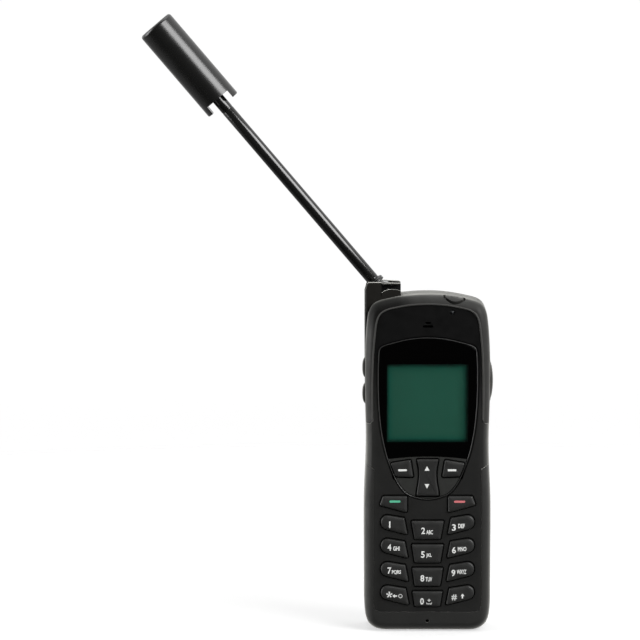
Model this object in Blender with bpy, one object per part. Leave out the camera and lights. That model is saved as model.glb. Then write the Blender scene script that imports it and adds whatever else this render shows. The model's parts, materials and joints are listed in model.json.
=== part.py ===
"""Handheld satellite phone with a swivelling mast antenna, as an assembly of separate solids.

Frame: +Z up along the handset, the keypad faces -Y, +X is to the right when the keypad is looked at.
Origin: middle of the flat bottom face that the handset stands on.
All driving dimensions are in millimetres and are scaled to metres when a mesh is made.
"""

import math

import bmesh
import bpy
from mathutils import Matrix, Vector

for _o in list(bpy.data.objects):
    bpy.data.objects.remove(_o, do_unlink=True)

MM = 0.001

# ---------------------------------------------------------------- driving dimensions
FRONT_Y = -15.0  # keypad face
PARTING_Y = -0.8  # joint between the front and rear halves
REAR_Y = 13.2  # rear face above the battery
BACK_Y = 15.0  # outer face of the battery, the deepest point

SKIN = 1.6  # thickness of the rubber bumpers
GAP = 0.2  # joint between rubber and plastic
WALL = 1.4  # plastic wall
PANEL_WALL_Y = -13.0  # inner side of the keypad face

KEY_PITCH = 9.97  # row to row
KEY_TRAVEL = 0.4
KEY_CLEAR = 0.28
KEY_FLOOR = 10.55  # the lowest row ends above the panel's edge

ANT_X, ANT_Y, ANT_Z = -18.0, 1.5, 141.6  # centre of the mast's swivel
ANT_TILT = -40.5  # degrees about +Y, so the mast leans to the left
MAST_R = 2.65
MAST_TOP = 109.6
CAP_R = 7.9
CAP_EARS, CAP_FLOOR, CAP_TOP = 104.6, 108.3, 148.7

BAY_X, BAY_Z0, BAY_Z1, BAY_Y = 22.6, 6.5, 91.0, 6.8  # battery bay

# right half of the handset's outline, bottom centre to top: (x, z)
HALF = [
    (8.0, 0.0), (16.5, 0.0), (19.6, 0.4), (22.2, 1.5), (24.2, 3.3), (25.5, 5.6),
    (26.2, 8.2), (26.5, 11.5), (26.6, 20.0), (26.65, 33.0), (26.7, 46.0), (26.6, 56.0),
    (26.3, 64.0), (25.95, 72.0), (25.8, 80.0), (25.95, 88.0), (26.2, 97.0), (26.35, 108.0),
    (26.2, 118.0), (25.8, 126.0), (25.25, 131.6), (24.6, 135.0), (23.2, 137.6),
    (20.9, 139.1), (16.0, 140.4), (10.0, 141.5), (5.0, 142.05),
]
TOP = (0.0, 142.2)
# the rear half's upper left corner goes straight up into the antenna turret
LEFT_REAR = [(26.35, 108.0), (26.4, 118.0), (26.44, 126.0), (26.44, 131.6), (26.44, 135.0),
             (26.1, 138.2), (24.2, 140.3), (18.0, 141.0), (10.0, 141.6), (5.0, 142.05)]

# right half of the keypad panel's outline
PANEL_HALF = [
    (12.0, 9.6), (20.4, 9.7), (22.0, 10.5), (22.6, 12.4), (22.65, 30.0), (22.65, 50.0),
    (22.6, 70.0), (22.7, 84.0), (22.95, 98.0), (23.0, 108.0), (22.9, 118.0), (22.5, 126.0),
    (21.9, 131.0), (20.7, 134.3), (18.4, 136.2), (14.0, 137.4), (7.0, 138.7),
]
PANEL_TOP = (0.0, 139.05)

# right half of the shield-shaped display field: lens above, navigation keys below
SHIELD_HALF = [
    (5.6, 56.75), (8.9, 58.2), (11.4, 60.7), (14.0, 65.0), (16.1, 70.2), (18.1, 76.3),
    (19.8, 84.6), (20.6, 91.5), (21.05, 98.5), (21.2, 108.0), (20.95, 116.5), (20.6, 119.3),
    (19.6, 120.7), (14.0, 122.6), (7.0, 124.1),
]
SHIELD_BOTTOM, SHIELD_TOP = (0.0, 55.8), (0.0, 124.6)
LENS_Z = 74.3  # lower edge of the lens at the middle
LENS_Z_END = 73.4

SCREEN = (-17.2, 17.0, 80.9, 113.9)  # visible area: x0, x1, z0, z1


# ---------------------------------------------------------------- outlines
def mirrored(half, bottom=None, top=None, left=None):
    """Closed outline, anticlockwise seen from the keypad side: right half up, left half down."""
    left = left or half
    pts = ([bottom] if bottom else []) + list(half) + ([top] if top else [])
    return pts + [(-x, z) for x, z in reversed(left)]


def normals(pts):
    """Outward mitre direction at each corner of an anticlockwise outline."""
    out = []
    n = len(pts)
    for i in range(n):
        p, a, b = Vector(pts[i]), Vector(pts[i - 1]), Vector(pts[(i + 1) % n])
        d0, d1 = (p - a).normalized(), (b - p).normalized()
        n0, n1 = Vector((d0.y, -d0.x)), Vector((d1.y, -d1.x))
        m = n0 + n1
        m = m.normalized() if m.length > 1e-9 else n0
        out.append(m / max(0.5, m.dot(n0)))
    return out


def offset(pts, d):
    """The outline moved outwards by d (inwards where d is negative)."""
    return [(p[0] + m.x * d, p[1] + m.y * d) for p, m in zip(pts, normals(pts))]


def rounded(corners, seg=3):
    """Polygon with filleted corners: corners are (x, z, radius), anticlockwise."""
    out = []
    n = len(corners)
    for i in range(n):
        x, z, r = corners[i]
        p = Vector((x, z))
        a = Vector(corners[i - 1][:2])
        b = Vector(corners[(i + 1) % n][:2])
        u, v = (a - p).normalized(), (b - p).normalized()
        half = math.acos(max(-1.0, min(1.0, u.dot(v)))) / 2
        t = r / math.tan(half)
        c = p + (u + v).normalized() * (r / math.sin(half))
        s, e = p + u * t - c, p + v * t - c
        a0 = math.atan2(s.y, s.x)
        turn = (math.atan2(e.y, e.x) - a0 + math.pi) % (2 * math.pi) - math.pi
        for k in range(seg + 1):
            w = a0 + turn * k / seg
            out.append((c.x + r * math.cos(w), c.y + r * math.sin(w)))
    return out


BODY = [(max(-99, x), z) for x, z in mirrored(HALF, (0.0, 0.0), TOP)]
BODY_REAR = mirrored(HALF, (0.0, 0.0), TOP, left=HALF[:17] + LEFT_REAR)
PANEL = mirrored(PANEL_HALF, (0.0, 9.6), PANEL_TOP)
SHIELD = mirrored(SHIELD_HALF, SHIELD_BOTTOM, SHIELD_TOP)


# ---------------------------------------------------------------- materials
def material(name, rgb, rough, metal=0.0):
    m = bpy.data.materials.new(name)
    m.use_nodes = True
    b = m.node_tree.nodes["Principled BSDF"]
    b.inputs["Base Color"].default_value = (*rgb, 1.0)
    b.inputs["Roughness"].default_value = rough
    b.inputs["Metallic"].default_value = metal
    m.diffuse_color = (*rgb, 1.0)
    return m


PALETTE = {
    "shell": ((0.020, 0.020, 0.019), 0.55, 0.0),
    "rubber": ((0.045, 0.045, 0.043), 0.75, 0.0),
    "keys": ((0.030, 0.030, 0.030), 0.5, 0.0),
    "gloss": ((0.002, 0.002, 0.002), 0.08, 0.0),
    "screen": ((0.02, 0.08, 0.05), 0.3, 0.0),
    "island": ((0.035, 0.036, 0.033), 0.4, 0.0),
    "mast": ((0.010, 0.010, 0.010), 0.2, 0.0),
    "board": ((0.02, 0.10, 0.04), 0.5, 0.0),
    "steel": ((0.55, 0.56, 0.58), 0.3, 1.0),
    "copper": ((0.72, 0.42, 0.25), 0.3, 1.0),
    "gold": ((0.85, 0.62, 0.25), 0.3, 1.0),
    "silicone": ((0.35, 0.36, 0.37), 0.7, 0.0),
    "white": ((0.75, 0.75, 0.73), 0.5, 0.0),
}


# ---------------------------------------------------------------- mesh building
def finish(name, bm, kind="shell", helper=False, empty=None):
    bmesh.ops.recalc_face_normals(bm, faces=bm.faces)
    for v in bm.verts:
        v.co *= MM
    mesh = bpy.data.meshes.new(name)
    bm.to_mesh(mesh)
    bm.free()
    obj = bpy.data.objects.new(name, mesh)
    bpy.context.scene.collection.objects.link(obj)
    if helper:
        obj.hide_render = True
        obj.display_type = "WIRE"
    else:
        rgb, rough, metal = PALETTE[kind]
        mesh.materials.append(material(name, rgb, rough, metal))
        mesh.shade_smooth()
        mesh.set_sharp_from_angle(angle=math.radians(35))
    if empty is not None:
        obj.parent = empty
    return obj


def rings_into(bm, rings):
    """Skins a stack of equal rings of points and closes both ends."""
    loops = [[bm.verts.new(p) for p in ring] for ring in rings]
    n = len(loops[0])
    for a, b in zip(loops, loops[1:]):
        for i in range(n):
            j = (i + 1) % n
            bm.faces.new((a[i], a[j], b[j], b[i]))
    bm.faces.new(loops[0][::-1])
    bm.faces.new(loops[-1])


def stack(name, outline, profile, **kw):
    """Outline in XZ drawn through (inset, y) pairs, such as a shell with a rounded shoulder."""
    bm = bmesh.new()
    rings_into(bm, [[(x, y, z) for x, z in offset(outline, -d)] for d, y in profile])
    return finish(name, bm, **kw)


def prism(name, outline, y0, y1, **kw):
    bm = bmesh.new()
    face = bm.faces.new([bm.verts.new((x, y0, z)) for x, z in outline])
    new = bmesh.ops.extrude_face_region(bm, geom=[face])
    bmesh.ops.translate(bm, vec=(0, y1 - y0, 0), verts=[v for v in new["geom"] if isinstance(v, bmesh.types.BMVert)])
    return finish(name, bm, **kw)


def add_box(bm, lo, hi):
    c = [(a + b) / 2 for a, b in zip(lo, hi)]
    s = [b - a for a, b in zip(lo, hi)]
    bmesh.ops.create_cube(bm, size=1.0, matrix=Matrix.Translation(c) @ Matrix.Diagonal((*s, 1.0)))


def box(name, lo, hi, bevel=0.0, seg=1, **kw):
    bm = bmesh.new()
    add_box(bm, lo, hi)
    if bevel:
        bmesh.ops.bevel(bm, geom=list(bm.edges), offset=bevel, segments=seg, affect="EDGES", profile=0.5)
    return finish(name, bm, **kw)


def add_cyl(bm, centre, axis, r, length, n=24, r2=None):
    turn = Vector((0, 0, 1)).rotation_difference(Vector(axis)).to_matrix().to_4x4()
    bmesh.ops.create_cone(bm, cap_ends=True, segments=n, radius1=r, radius2=r if r2 is None else r2,
                          depth=length, matrix=Matrix.Translation(centre) @ turn)


def cyl(name, centre, axis, r, length, n=24, **kw):
    bm = bmesh.new()
    add_cyl(bm, centre, axis, r, length, n)
    return finish(name, bm, **kw)


def turned(name, profile, n=24, **kw):
    """Spins a closed (radius, height) profile, all of it off the axis, about local Z."""
    bm = bmesh.new()
    loop = [bm.verts.new((r, 0, h)) for r, h in profile]
    edges = [bm.edges.new((a, b)) for a, b in zip(loop, loop[1:] + loop[:1])]
    bmesh.ops.spin(bm, geom=loop + edges, cent=(0, 0, 0), axis=(0, 0, 1), angle=2 * math.pi, steps=n, use_merge=True)
    bmesh.ops.remove_doubles(bm, verts=bm.verts, dist=1e-4)
    return finish(name, bm, **kw)


def boolean(target, cutter, how="DIFFERENCE"):
    m = target.modifiers.new(how.lower() + "_" + cutter.name, "BOOLEAN")
    m.operation = how
    m.solver = "EXACT"
    m.object = cutter
    return target


def cut(target, *cutters):
    for c in cutters:
        boolean(target, c)
    return target


def join(target, *others):
    for c in others:
        boolean(target, c, "UNION")
    return target


def cut_boxes(target, *spans, **kw):
    """Cuts box-shaped holes one after the other, so they may overlap."""
    for i, (lo, hi) in enumerate(spans):
        cut(target, box(f"{target.name}_slot_{len(target.modifiers)}_{i}", lo, hi, helper=True, **kw))
    return target


def cut_rounds(target, *specs, **kw):
    """Cuts round holes (centre, axis, radius, length) one after the other."""
    for i, (c, a, r, l) in enumerate(specs):
        cut(target, cyl(f"{target.name}_bore_{len(target.modifiers)}_{i}", c, a, r, l, 20, helper=True, **kw))
    return target


# ---------------------------------------------------------------- shapes shared by several pieces
def front_body(name, d, **kw):
    """The front half's outer form, drawn in by d."""
    return stack(name, BODY, [(d, PARTING_Y - 0.1 + (0.4 if d > 0 else 0.0)), (d, -9.4), (d + 0.9, -13.0 + 0.8 * max(0, d) * 0.6),
                              (d + 3.3, FRONT_Y + max(0.0, d))], **kw)


def slanted_zone(name, z_in, z_out, up, **kw):
    """Everything below (or above) a line that runs from z_in at the panel to z_out at the handset's side."""
    far = 200.0 if up else -60.0
    pts = [(-22.4, z_in), (22.4, z_in), (28.5, z_out), (60.0, z_out), (60.0, far), (-60.0, far), (-60.0, z_out), (-28.5, z_out)]
    return prism(name, pts, -40.0, 40.0, **kw)


H = dict(helper=True)

TURRET_LO = (-26.44, -6.05, 134.5)
TURRET_HI = (-11.25, 9.05, 146.7)
turret_room = box("turret_room", (-40.0, TURRET_LO[1] - 0.25, TURRET_LO[2] - 0.25),
                  (TURRET_HI[0] + 0.25, TURRET_HI[1] + 0.25, 170.0), **H)

panel_prism = prism("panel_prism", PANEL, -40.0, 40.0, **H)
panel_prism_in = prism("panel_prism_in", offset(PANEL, -GAP), -40.0, 40.0, **H)

# ---------------------------------------------------------------- keys
LEFT_KEY = [(-19.65, 49.85, 2.7), (-9.8, 48.2, 0.5), (-8.35, 41.0, 0.5), (-19.65, 44.0, 3.0)]


def side_key(row, right):
    k = [(x + (0.22 * row if x > -15 else 0.0), z - KEY_PITCH * row, r) for x, z, r in LEFT_KEY]
    pts = rounded(k[::-1])
    return [(-x, z) for x, z in reversed(pts)] if right else pts


def middle_key(row):
    top, low, z = 6.9 - 0.16 * row, 5.45 - 0.05 * row, 47.0 - KEY_PITCH * row
    base = max(z - 7.9, KEY_FLOOR)
    return rounded([(-low, base, 0.6), (low, base, 0.6), (top, z, 0.5), (-top, z, 0.5)], 2)


def mirror(pts):
    return [(-x, z) for x, z in reversed(pts)]


CALL = rounded([(-20.3, 53.6, 0.7), (-8.6, 50.4, 0.6), (-8.6, 57.5, 0.6), (-18.8, 57.5, 0.8)], 2)
SOFT = rounded([(-13.4, 65.8, 0.7), (-6.0, 65.5, 0.6), (-7.2, 72.9, 0.6), (-15.7, 71.5, 0.7)], 2)
NAV_SIDE = [(4.75, 57.6), (4.5, 60.0), (3.9, 63.4), (3.68, 66.6), (3.85, 69.4), (4.3, 71.6), (4.5, 73.2)]
NAV = NAV_SIDE + [(-x, z) for x, z in reversed(NAV_SIDE)]

KEYS = {"soft_key_left": SOFT, "soft_key_right": mirror(SOFT), "navigation_rocker": NAV,
        "call_key": CALL, "end_key": mirror(CALL)}
for _row, (_l, _m, _r) in enumerate([("1", "2", "3"), ("4", "5", "6"), ("7", "8", "9"), ("star", "0", "hash")]):
    KEYS[f"key_{_l}"] = side_key(_row, False)
    KEYS[f"key_{_m}"] = middle_key(_row)
    KEYS[f"key_{_r}"] = side_key(_row, True)
ISLAND_KEYS = ("soft_key_left", "soft_key_right", "navigation_rocker")

for _name, _outline in KEYS.items():
    if _name == "navigation_rocker":  # shallower flange, because it rocks
        prof = [(0.5, -15.9), (0.05, -15.5), (0.05, -12.9), (-0.4, -12.8), (-0.4, -12.4)]
    else:
        prof = [(0.55, -16.0), (0.0, -15.55), (0.0, -12.75), (-0.42, -12.7), (-0.42, -12.1)]
    stack(_name, _outline, prof, kind="keys")

# ---------------------------------------------------------------- front housing
key_holes = bmesh.new()
for _name, _outline in KEYS.items():
    if _name not in ISLAND_KEYS:
        rings_into(key_holes, [[(x, y, z) for x, z in offset(_outline, KEY_CLEAR)] for y in (-18.0, -11.0)])
# opening behind the navigation island, which all three of its keys pass through
rings_into(key_holes, [[(x, y, z) for x, z in rounded([(-14.6, 64.2, 1.0), (-5.6, 64.2, 0.4), (-5.6, 56.9, 0.5), (5.6, 56.9, 0.5),
                                                          (5.6, 64.2, 0.4), (14.6, 64.2, 1.0), (16.6, 72.2, 1.0), (7.6, 73.8, 0.5),
                                                          (-7.6, 73.8, 0.5), (-16.6, 72.2, 1.0)], 2)] for y in (-18.0, -11.0)])
# display window, earpiece slots, status light
add_box(key_holes, (-18.3, -18.0, 79.8), (18.1, -11.0, 115.0))
add_box(key_holes, (-1.6, -18.0, 130.8), (1.6, -11.0, 131.5))
add_box(key_holes, (-2.5, -18.0, 129.2), (2.5, -11.0, 129.9))
add_cyl(key_holes, (10.8, -14.0, 135.6), (0, 1, 0), 1.25, 6.0, 16)
key_holes = finish("front_openings", key_holes, **H)

skin_core = front_body("skin_core", SKIN, **H)
recess_core = front_body("recess_core", SKIN + GAP, **H)
upper_stop = slanted_zone("upper_stop", 89.2, 87.8, False, **H)
lower_stop = slanted_zone("lower_stop", 68.6, 72.4, True, **H)
upper_stop_in = slanted_zone("upper_stop_in", 89.2 - GAP, 87.8 - GAP, False, **H)
lower_stop_in = slanted_zone("lower_stop_in", 68.6 + GAP, 72.4 + GAP, True, **H)


def recess(name, stop):
    """The layer that a bumper fills, a little larger than the bumper itself."""
    r = stack(name, BODY, [(-0.6, 3.0), (-0.6, FRONT_Y - 1.0)], **H)
    return cut(r, recess_core, panel_prism_in, stop)


front = front_body("front_housing", 0.0, kind="shell")
cavity = stack("front_cavity", BODY, [(SKIN + GAP + WALL, 2.0), (SKIN + GAP + WALL, -10.9), (SKIN + GAP + WALL + 1.4, -11.8)], **H)
panel_cavity = prism("panel_cavity", offset(PANEL, -1.5), -5.0, PANEL_WALL_Y, **H)
shield_pocket = prism("shield_pocket", offset(SHIELD, 0.22), -20.0, -13.9, **H)

side_holes = bmesh.new()
VOL_Y, VOL_Z = -5.5, (100.1, 111.0)
JACK_Z = 105.6
VOL = [rounded([(-2.35, -4.75, 2.2), (2.35, -4.75, 2.2), (2.35, 4.75, 2.2), (-2.35, 4.75, 2.2)], 3)] * 2
for z in VOL_Z:
    rings_into(side_holes, [[(x, VOL_Y + a, z + b) for a, b in offset(VOL[0], 0.28)] for x in (-32.0, -20.0)])
add_cyl(side_holes, (24.5, VOL_Y, JACK_Z), (1, 0, 0), 2.3, 8.0, 20)
POWER = Vector((11.1, -10.2, 139.9))  # on the top shoulder, pressed down and back
POWER_AXIS = Vector((0.0, -math.sin(math.radians(25.0)), math.cos(math.radians(25.0))))
POWER_R = 4.05
add_cyl(side_holes, POWER - POWER_AXIS * 0.5, POWER_AXIS, POWER_R + 0.28, 10.0, 28)
add_cyl(side_holes, (0.0, -14.0, 4.35), (0, 1, 0), 0.75, 6.0, 14)
side_holes = finish("side_openings", side_holes, **H)

cut(front, recess("upper_recess", upper_stop_in), recess("lower_recess", lower_stop_in), cavity, panel_cavity,
    shield_pocket)
# room for the flanges of the lowest keys
cut_boxes(front, ((-20.5, PANEL_WALL_Y, 10.4), (-7.1, -11.0, 13.0)), ((-7.0, PANEL_WALL_Y, 9.95), (7.0, -11.0, 13.0)),
          ((7.1, PANEL_WALL_Y, 10.4), (20.5, -11.0, 13.0)))
# screw bosses stand on the inside of the keypad face
SCREWS = {"screw_lower_left": (-19.4, 8.6), "screw_lower_right": (19.4, 8.6), "screw_upper_right": (19.4, 126.0),
          "screw_upper_left": (-7.6, 131.2)}
for _name, (sx, sz) in SCREWS.items():
    join(front, cyl("boss_" + _name, (sx, -7.2, sz), (0, 1, 0), 2.1, 12.0, 18, **H))
pilots = bmesh.new()
for sx, sz in SCREWS.values():
    add_cyl(pilots, (sx, -4.0, sz), (0, 1, 0), 1.15, 14.0, 14)
cut(front, key_holes, side_holes, finish("screw_pilots", pilots, **H), turret_room)

# ---------------------------------------------------------------- rubber bumpers
upper = front_body("upper_bumper", 0.0, kind="rubber")
cut(upper, skin_core, panel_prism, upper_stop, side_holes, turret_room)
lower = front_body("lower_bumper", 0.0, kind="rubber")
cut(lower, skin_core, panel_prism, lower_stop, side_holes)

# ---------------------------------------------------------------- rear housing
rear = stack("rear_housing", BODY_REAR, [(0.0, PARTING_Y + 0.1), (0.0, 8.6), (0.9, 11.6), (2.6, REAR_Y)], kind="shell")
low_cavity = stack("rear_low_cavity", BODY_REAR, [(1.7, -3.0), (1.7, 5.4)], **H)
up_cavity = stack("rear_up_cavity", BODY_REAR, [(1.9, 5.0), (1.9, 8.2), (2.5, 10.6), (4.0, 11.7)], **H)
cut(up_cavity, box("below_partition", (-60, -20, -60), (60, 40, 92.6), **H))
bay = box("battery_bay", (-BAY_X, BAY_Y, BAY_Z0), (BAY_X, 30.0, BAY_Z1), bevel=1.2, seg=2, **H)

USB = (4.0, 12.0, 1.5, 5.1)  # x0, x1, y0, y1 of the data socket
FLAP = (12.5, 100.2, 6.2, 5.2)  # aerial socket's cover: centre x, z, half sizes
cut(rear, low_cavity, up_cavity, bay, turret_room)
for _name, (sx, sz) in SCREWS.items():  # columns that the screw heads seat on
    top = 12.2 if sz > 92 else 6.5
    join(rear, cyl("column_" + _name, (sx, (top - 0.8) / 2, sz), (0, 1, 0), 2.9, top + 0.8, 18, **H))
cut_boxes(rear,
          ((USB[0] - 0.25, USB[2] - 0.25, -2.0), (USB[1] + 0.25, USB[3] + 0.15, 3.0)),
          ((2.3, 0.4, -2.0), (14.2, 6.4, 1.25)),  # pocket of the data socket's cover
          ((FLAP[0] - FLAP[2] - 0.25, 12.35, FLAP[1] - FLAP[3] - 0.25), (FLAP[0] + FLAP[2] + 0.25, 16.0, FLAP[1] + FLAP[3] + 0.25)),
          ((-9.3, 9.0, 93.6), (-3.7, 16.0, 99.4)),  # latch slot
          ((-6.4, 4.0, 13.6), (6.4, 8.0, 19.4)),  # battery contacts
          ((2.0, 5.95, 48.0), (17.6, 8.0, 73.6)),  # pocket of the SIM card
          *[((-4.0, 10.0, 115.5 + 2.4 * i), (10.0, 16.0, 116.7 + 2.4 * i)) for i in range(5)])  # loudspeaker slots
cut_rounds(rear,
           ((-9.0, 2.6, 0.0), (0, 0, 1), 2.6, 6.0),  # power socket
           ((FLAP[0], 12.0, FLAP[1]), (0, 1, 0), 3.3, 6.0),
           *[((sx, 3.5, sz), (0, 1, 0), 1.25, 22.0) for sx, sz in SCREWS.values()],
           *[((sx, 14.1 if sz > 92 else 7.55, sz), (0, 1, 0), 2.15, 4.0) for sx, sz in SCREWS.values()])  # head recesses

# ---------------------------------------------------------------- screws
for _name, (sx, sz) in SCREWS.items():
    head_y = 12.15 if sz > 92 else 5.6
    bm = bmesh.new()
    prof = [(0.85, -9.0), (0.85, head_y - 0.05), (1.85, head_y), (1.85, head_y + 1.0), (0.9, head_y + 1.0), (0.9, head_y + 0.4)] if sz > 92 else \
           [(0.85, -9.0), (0.85, head_y - 0.05), (1.7, head_y), (1.7, head_y + 0.8), (0.8, head_y + 0.8), (0.8, head_y + 0.35)]
    n = 16
    rings_into(bm, [[(sx + r * math.cos(2 * math.pi * k / n), y, sz + r * math.sin(2 * math.pi * k / n)) for k in range(n)] for r, y in prof])
    finish(_name, bm, kind="steel")

# ---------------------------------------------------------------- display field
LENS_BAND = [(-30.0, LENS_Z_END - 1.0), (-30.0, LENS_Z_END - 0.4), (-16.0, LENS_Z_END + 0.1), (-8.0, LENS_Z - 0.15), (0.0, LENS_Z), (8.0, LENS_Z - 0.15),
             (16.0, LENS_Z_END + 0.1), (30.0, LENS_Z_END - 0.4), (30.0, LENS_Z_END - 1.0)]
below_lens = prism("below_lens", [(-30.0, 20.0), (30.0, 20.0)] + [p for p in reversed(LENS_BAND[1:-1])], -40, 40, **H)
above_island = prism("above_island", [(-30.0, 160.0)] + [(x, z - 0.15) for x, z in LENS_BAND[1:-1]] + [(30.0, 160.0)], -40, 40, **H)
lens = stack("display_lens", offset(SHIELD, -0.05), [(0.0, -14.15), (0.0, -14.75), (0.15, -14.9)], kind="gloss")
cut(lens, below_lens)
island = stack("navigation_bezel", offset(SHIELD, -0.05), [(0.0, -14.15), (0.0, -15.0), (0.25, -15.2)], kind="island")
island_holes = bmesh.new()
for _name in ISLAND_KEYS:
    rings_into(island_holes, [[(x, y, z) for x, z in offset(KEYS[_name], KEY_CLEAR)] for y in (-18.0, -11.0)])
cut(island, above_island, finish("island_openings", island_holes, **H))

box("lcd_module", (-19.4, -12.7, 77.6), (19.2, -10.0, 117.2), kind="screen")
cyl("status_light", (10.8, -14.32, 135.6), (0, 1, 0), 1.0, 1.45, 14, kind="white")
cyl("earpiece", (0.0, -11.4, 130.4), (0, 1, 0), 5.2, 2.6, 24, kind="steel")
cyl("microphone", (0.0, -9.9, 6.2), (0, 1, 0), 1.6, 1.8, 16, kind="steel")

# silicone key mat: web with a pad behind each key
mat = bmesh.new()
rings_into(mat, [[(x, y, z) for x, z in rounded([(-16.6, 11.6, 2.0), (16.6, 11.6, 2.0), (20.2, 17.0, 2.0), (20.2, 56.0, 3.0), (15.4, 73.6, 3.0),
                                                       (-15.4, 73.6, 3.0), (-20.2, 56.0, 3.0), (-20.2, 17.0, 2.0)], 2)] for y in (-10.3, -11.35)])
mat = finish("keypad_mat", mat, kind="silicone")

# circuit board with a hole for the upper left screw boss
board = box("main_board", (-17.0, -9.3, 12.4), (17.0, -8.1, 133.9), kind="board")
cut(board, cyl("board_hole", (-7.6, -8.7, 131.2), (0, 1, 0), 2.35, 4.0, 18, **H))
box("rf_shield", (-15.5, -7.8, 22.0), (13.5, -4.3, 96.0), bevel=0.5, kind="steel")
cyl("loudspeaker", (3.0, 9.2, 121.0), (0, 1, 0), 7.6, 3.6, 28, kind="steel")

# sockets
rf = bmesh.new()
rings_into(rf, [[(FLAP[0] + r * math.cos(2 * math.pi * k / 20), y, FLAP[1] + r * math.sin(2 * math.pi * k / 20)) for k in range(20)]
                for r, y in ((2.9, 4.0), (2.9, 12.2), (2.1, 12.2), (2.1, 8.5))])
finish("aerial_socket", rf, kind="gold")
usb = box("data_socket", (USB[0], USB[2], 1.7), (USB[1], USB[3], 9.6), kind="steel")
cut(usb, box("data_socket_mouth", (USB[0] + 0.4, USB[2] + 0.4, 0.0), (USB[1] - 0.4, USB[3] - 0.4, 7.5), **H))
dc = cyl("power_socket", (-9.0, 2.6, 6.4), (0, 0, 1), 2.35, 9.4, 20, kind="steel")
cut(dc, cyl("power_socket_mouth", (-9.0, 2.6, 3.0), (0, 0, 1), 1.7, 12.0, 18, **H))
jack = cyl("headset_socket", (18.9, VOL_Y, JACK_Z), (1, 0, 0), 2.3, 7.4, 20, kind="steel")
cut(jack, cyl("headset_socket_mouth", (20.0, VOL_Y, JACK_Z), (1, 0, 0), 1.3, 9.0, 16, **H))
cut(jack, box("jack_trim", (-40, -30, 90), (40, -7.85, 120), **H))
contacts = box("battery_contacts", (-6.0, 4.4, 14.0), (6.0, 6.6, 19.0), kind="gold")
card = prism("sim_card", rounded([(2.3, 48.3, 0.8), (17.3, 48.3, 0.8), (17.3, 73.3, 0.8), (4.8, 73.3, 0.3), (2.3, 70.8, 0.3)], 2), 6.05, 6.7, kind="white")

# ---------------------------------------------------------------- side and top keys
for _name, z in zip(("volume_down_key", "volume_up_key"), VOL_Z):
    bm = bmesh.new()
    rings_into(bm, [[(x, VOL_Y + a, z + b) for a, b in offset(VOL[0], -d)]
                    for d, x in ((1.5, -27.45), (0.7, -27.3), (0.0, -26.7), (0.0, -22.9), (-0.45, -22.8), (-0.45, -22.3))])
    finish(_name, bm, kind="rubber")

power = cyl("power_button", POWER - POWER_AXIS * 1.0, POWER_AXIS, POWER_R, 8.0, 28, kind="rubber")
boolean(power, front_body("power_surface", 0.12, **H), "INTERSECT")
join(power, cyl("power_flange", POWER - POWER_AXIS * 5.05, POWER_AXIS, POWER_R + 0.4, 0.5, 28, **H))

# ---------------------------------------------------------------- covers
flap = bmesh.new()
side = rounded([(-3.6, -8.6, 3.2), (3.6, -8.6, 3.2), (3.6, 8.6, 3.2), (-3.6, 8.6, 3.2)], 4)
rings_into(flap, [[(x, VOL_Y + a, JACK_Z + b) for a, b in offset(side, -d)] for d, x in ((0.0, 26.55), (0.0, 26.85), (0.8, 27.35), (2.2, 27.65))])
flap = finish("headset_cover", flap, kind="rubber")
join(flap, cyl("headset_plug", (25.9, VOL_Y, JACK_Z), (1, 0, 0), 1.35, 2.2, 16, **H))

box("data_cover", (2.6, 0.7, 0.12), (13.9, 6.1, 1.05), bevel=0.25, kind="rubber")
box("aerial_cover", (FLAP[0] - FLAP[2], 12.6, FLAP[1] - FLAP[3]), (FLAP[0] + FLAP[2], 13.9, FLAP[1] + FLAP[3]), bevel=0.5, kind="rubber")

latch = box("battery_latch", (-13.5, 13.5, 91.9), (0.5, 14.7, 98.2), bevel=0.4, kind="keys")
join(latch, box("latch_stem", (-9.0, 11.0, 93.9), (-4.0, 13.9, 96.9), **H),
     box("latch_foot", (-11.0, 9.9, 93.7), (-2.0, 11.3, 98.0), **H))

# ---------------------------------------------------------------- battery pack
BX, BZ0, BZ1 = 22.3, 6.8, 90.7
cover = box("battery_cover", (-BX, 8.9, BZ0), (BX, BACK_Y, BZ1), bevel=1.6, seg=3, kind="shell")
cut(cover, box("cover_front_trim", (-40, 0, 0), (40, 10.6, 120), **H), box("cover_inside", (-BX + 1.3, 5.0, BZ0 + 1.3), (BX - 1.3, 13.6, BZ1 - 1.3), **H))
box("battery_base", (-BX + 0.1, 7.1, BZ0 + 0.1), (BX - 0.1, 10.4, BZ1 - 0.1), bevel=0.8, kind="shell")
box("battery_cell", (-19.5, 10.7, 10.0), (19.5, 13.3, 87.5), bevel=0.6, kind="white")

# ---------------------------------------------------------------- antenna turret: a clevis with a low front right corner
lo, hi = TURRET_LO, TURRET_HI
side_profile = [(lo[0], lo[2]), (hi[0], lo[2]), (hi[0], 145.4), (hi[0] - 1.0, 146.0), (-18.0, hi[2]), (-25.4, hi[2]), (-25.5, 144.2), (lo[0], 143.8)]
turret = prism("antenna_turret", side_profile, lo[1], hi[1], kind="shell")
cut_boxes(turret, ((-40.0, -2.6, 136.25), (0.0, 5.6, 160.0)),  # slot that the mast swings in
          ((-19.35, -20.0, 143.2), (0.0, -2.0, 160.0)))  # low front right corner
cut_rounds(turret, ((ANT_X, 1.5, ANT_Z), (0, 1, 0), 1.4, 13.2),  # trunnion holes
           ((ANT_X, ANT_Y, 135.0), (0, 0, 1), 3.1, 8.0))  # way down for the stowed mast

turned("mast_guide_tube", [(3.05, 30.0), (3.6, 30.0), (3.6, 134.1), (3.05, 134.1)], 20, kind="white").location = (ANT_X * MM, ANT_Y * MM, 0.0)

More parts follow.
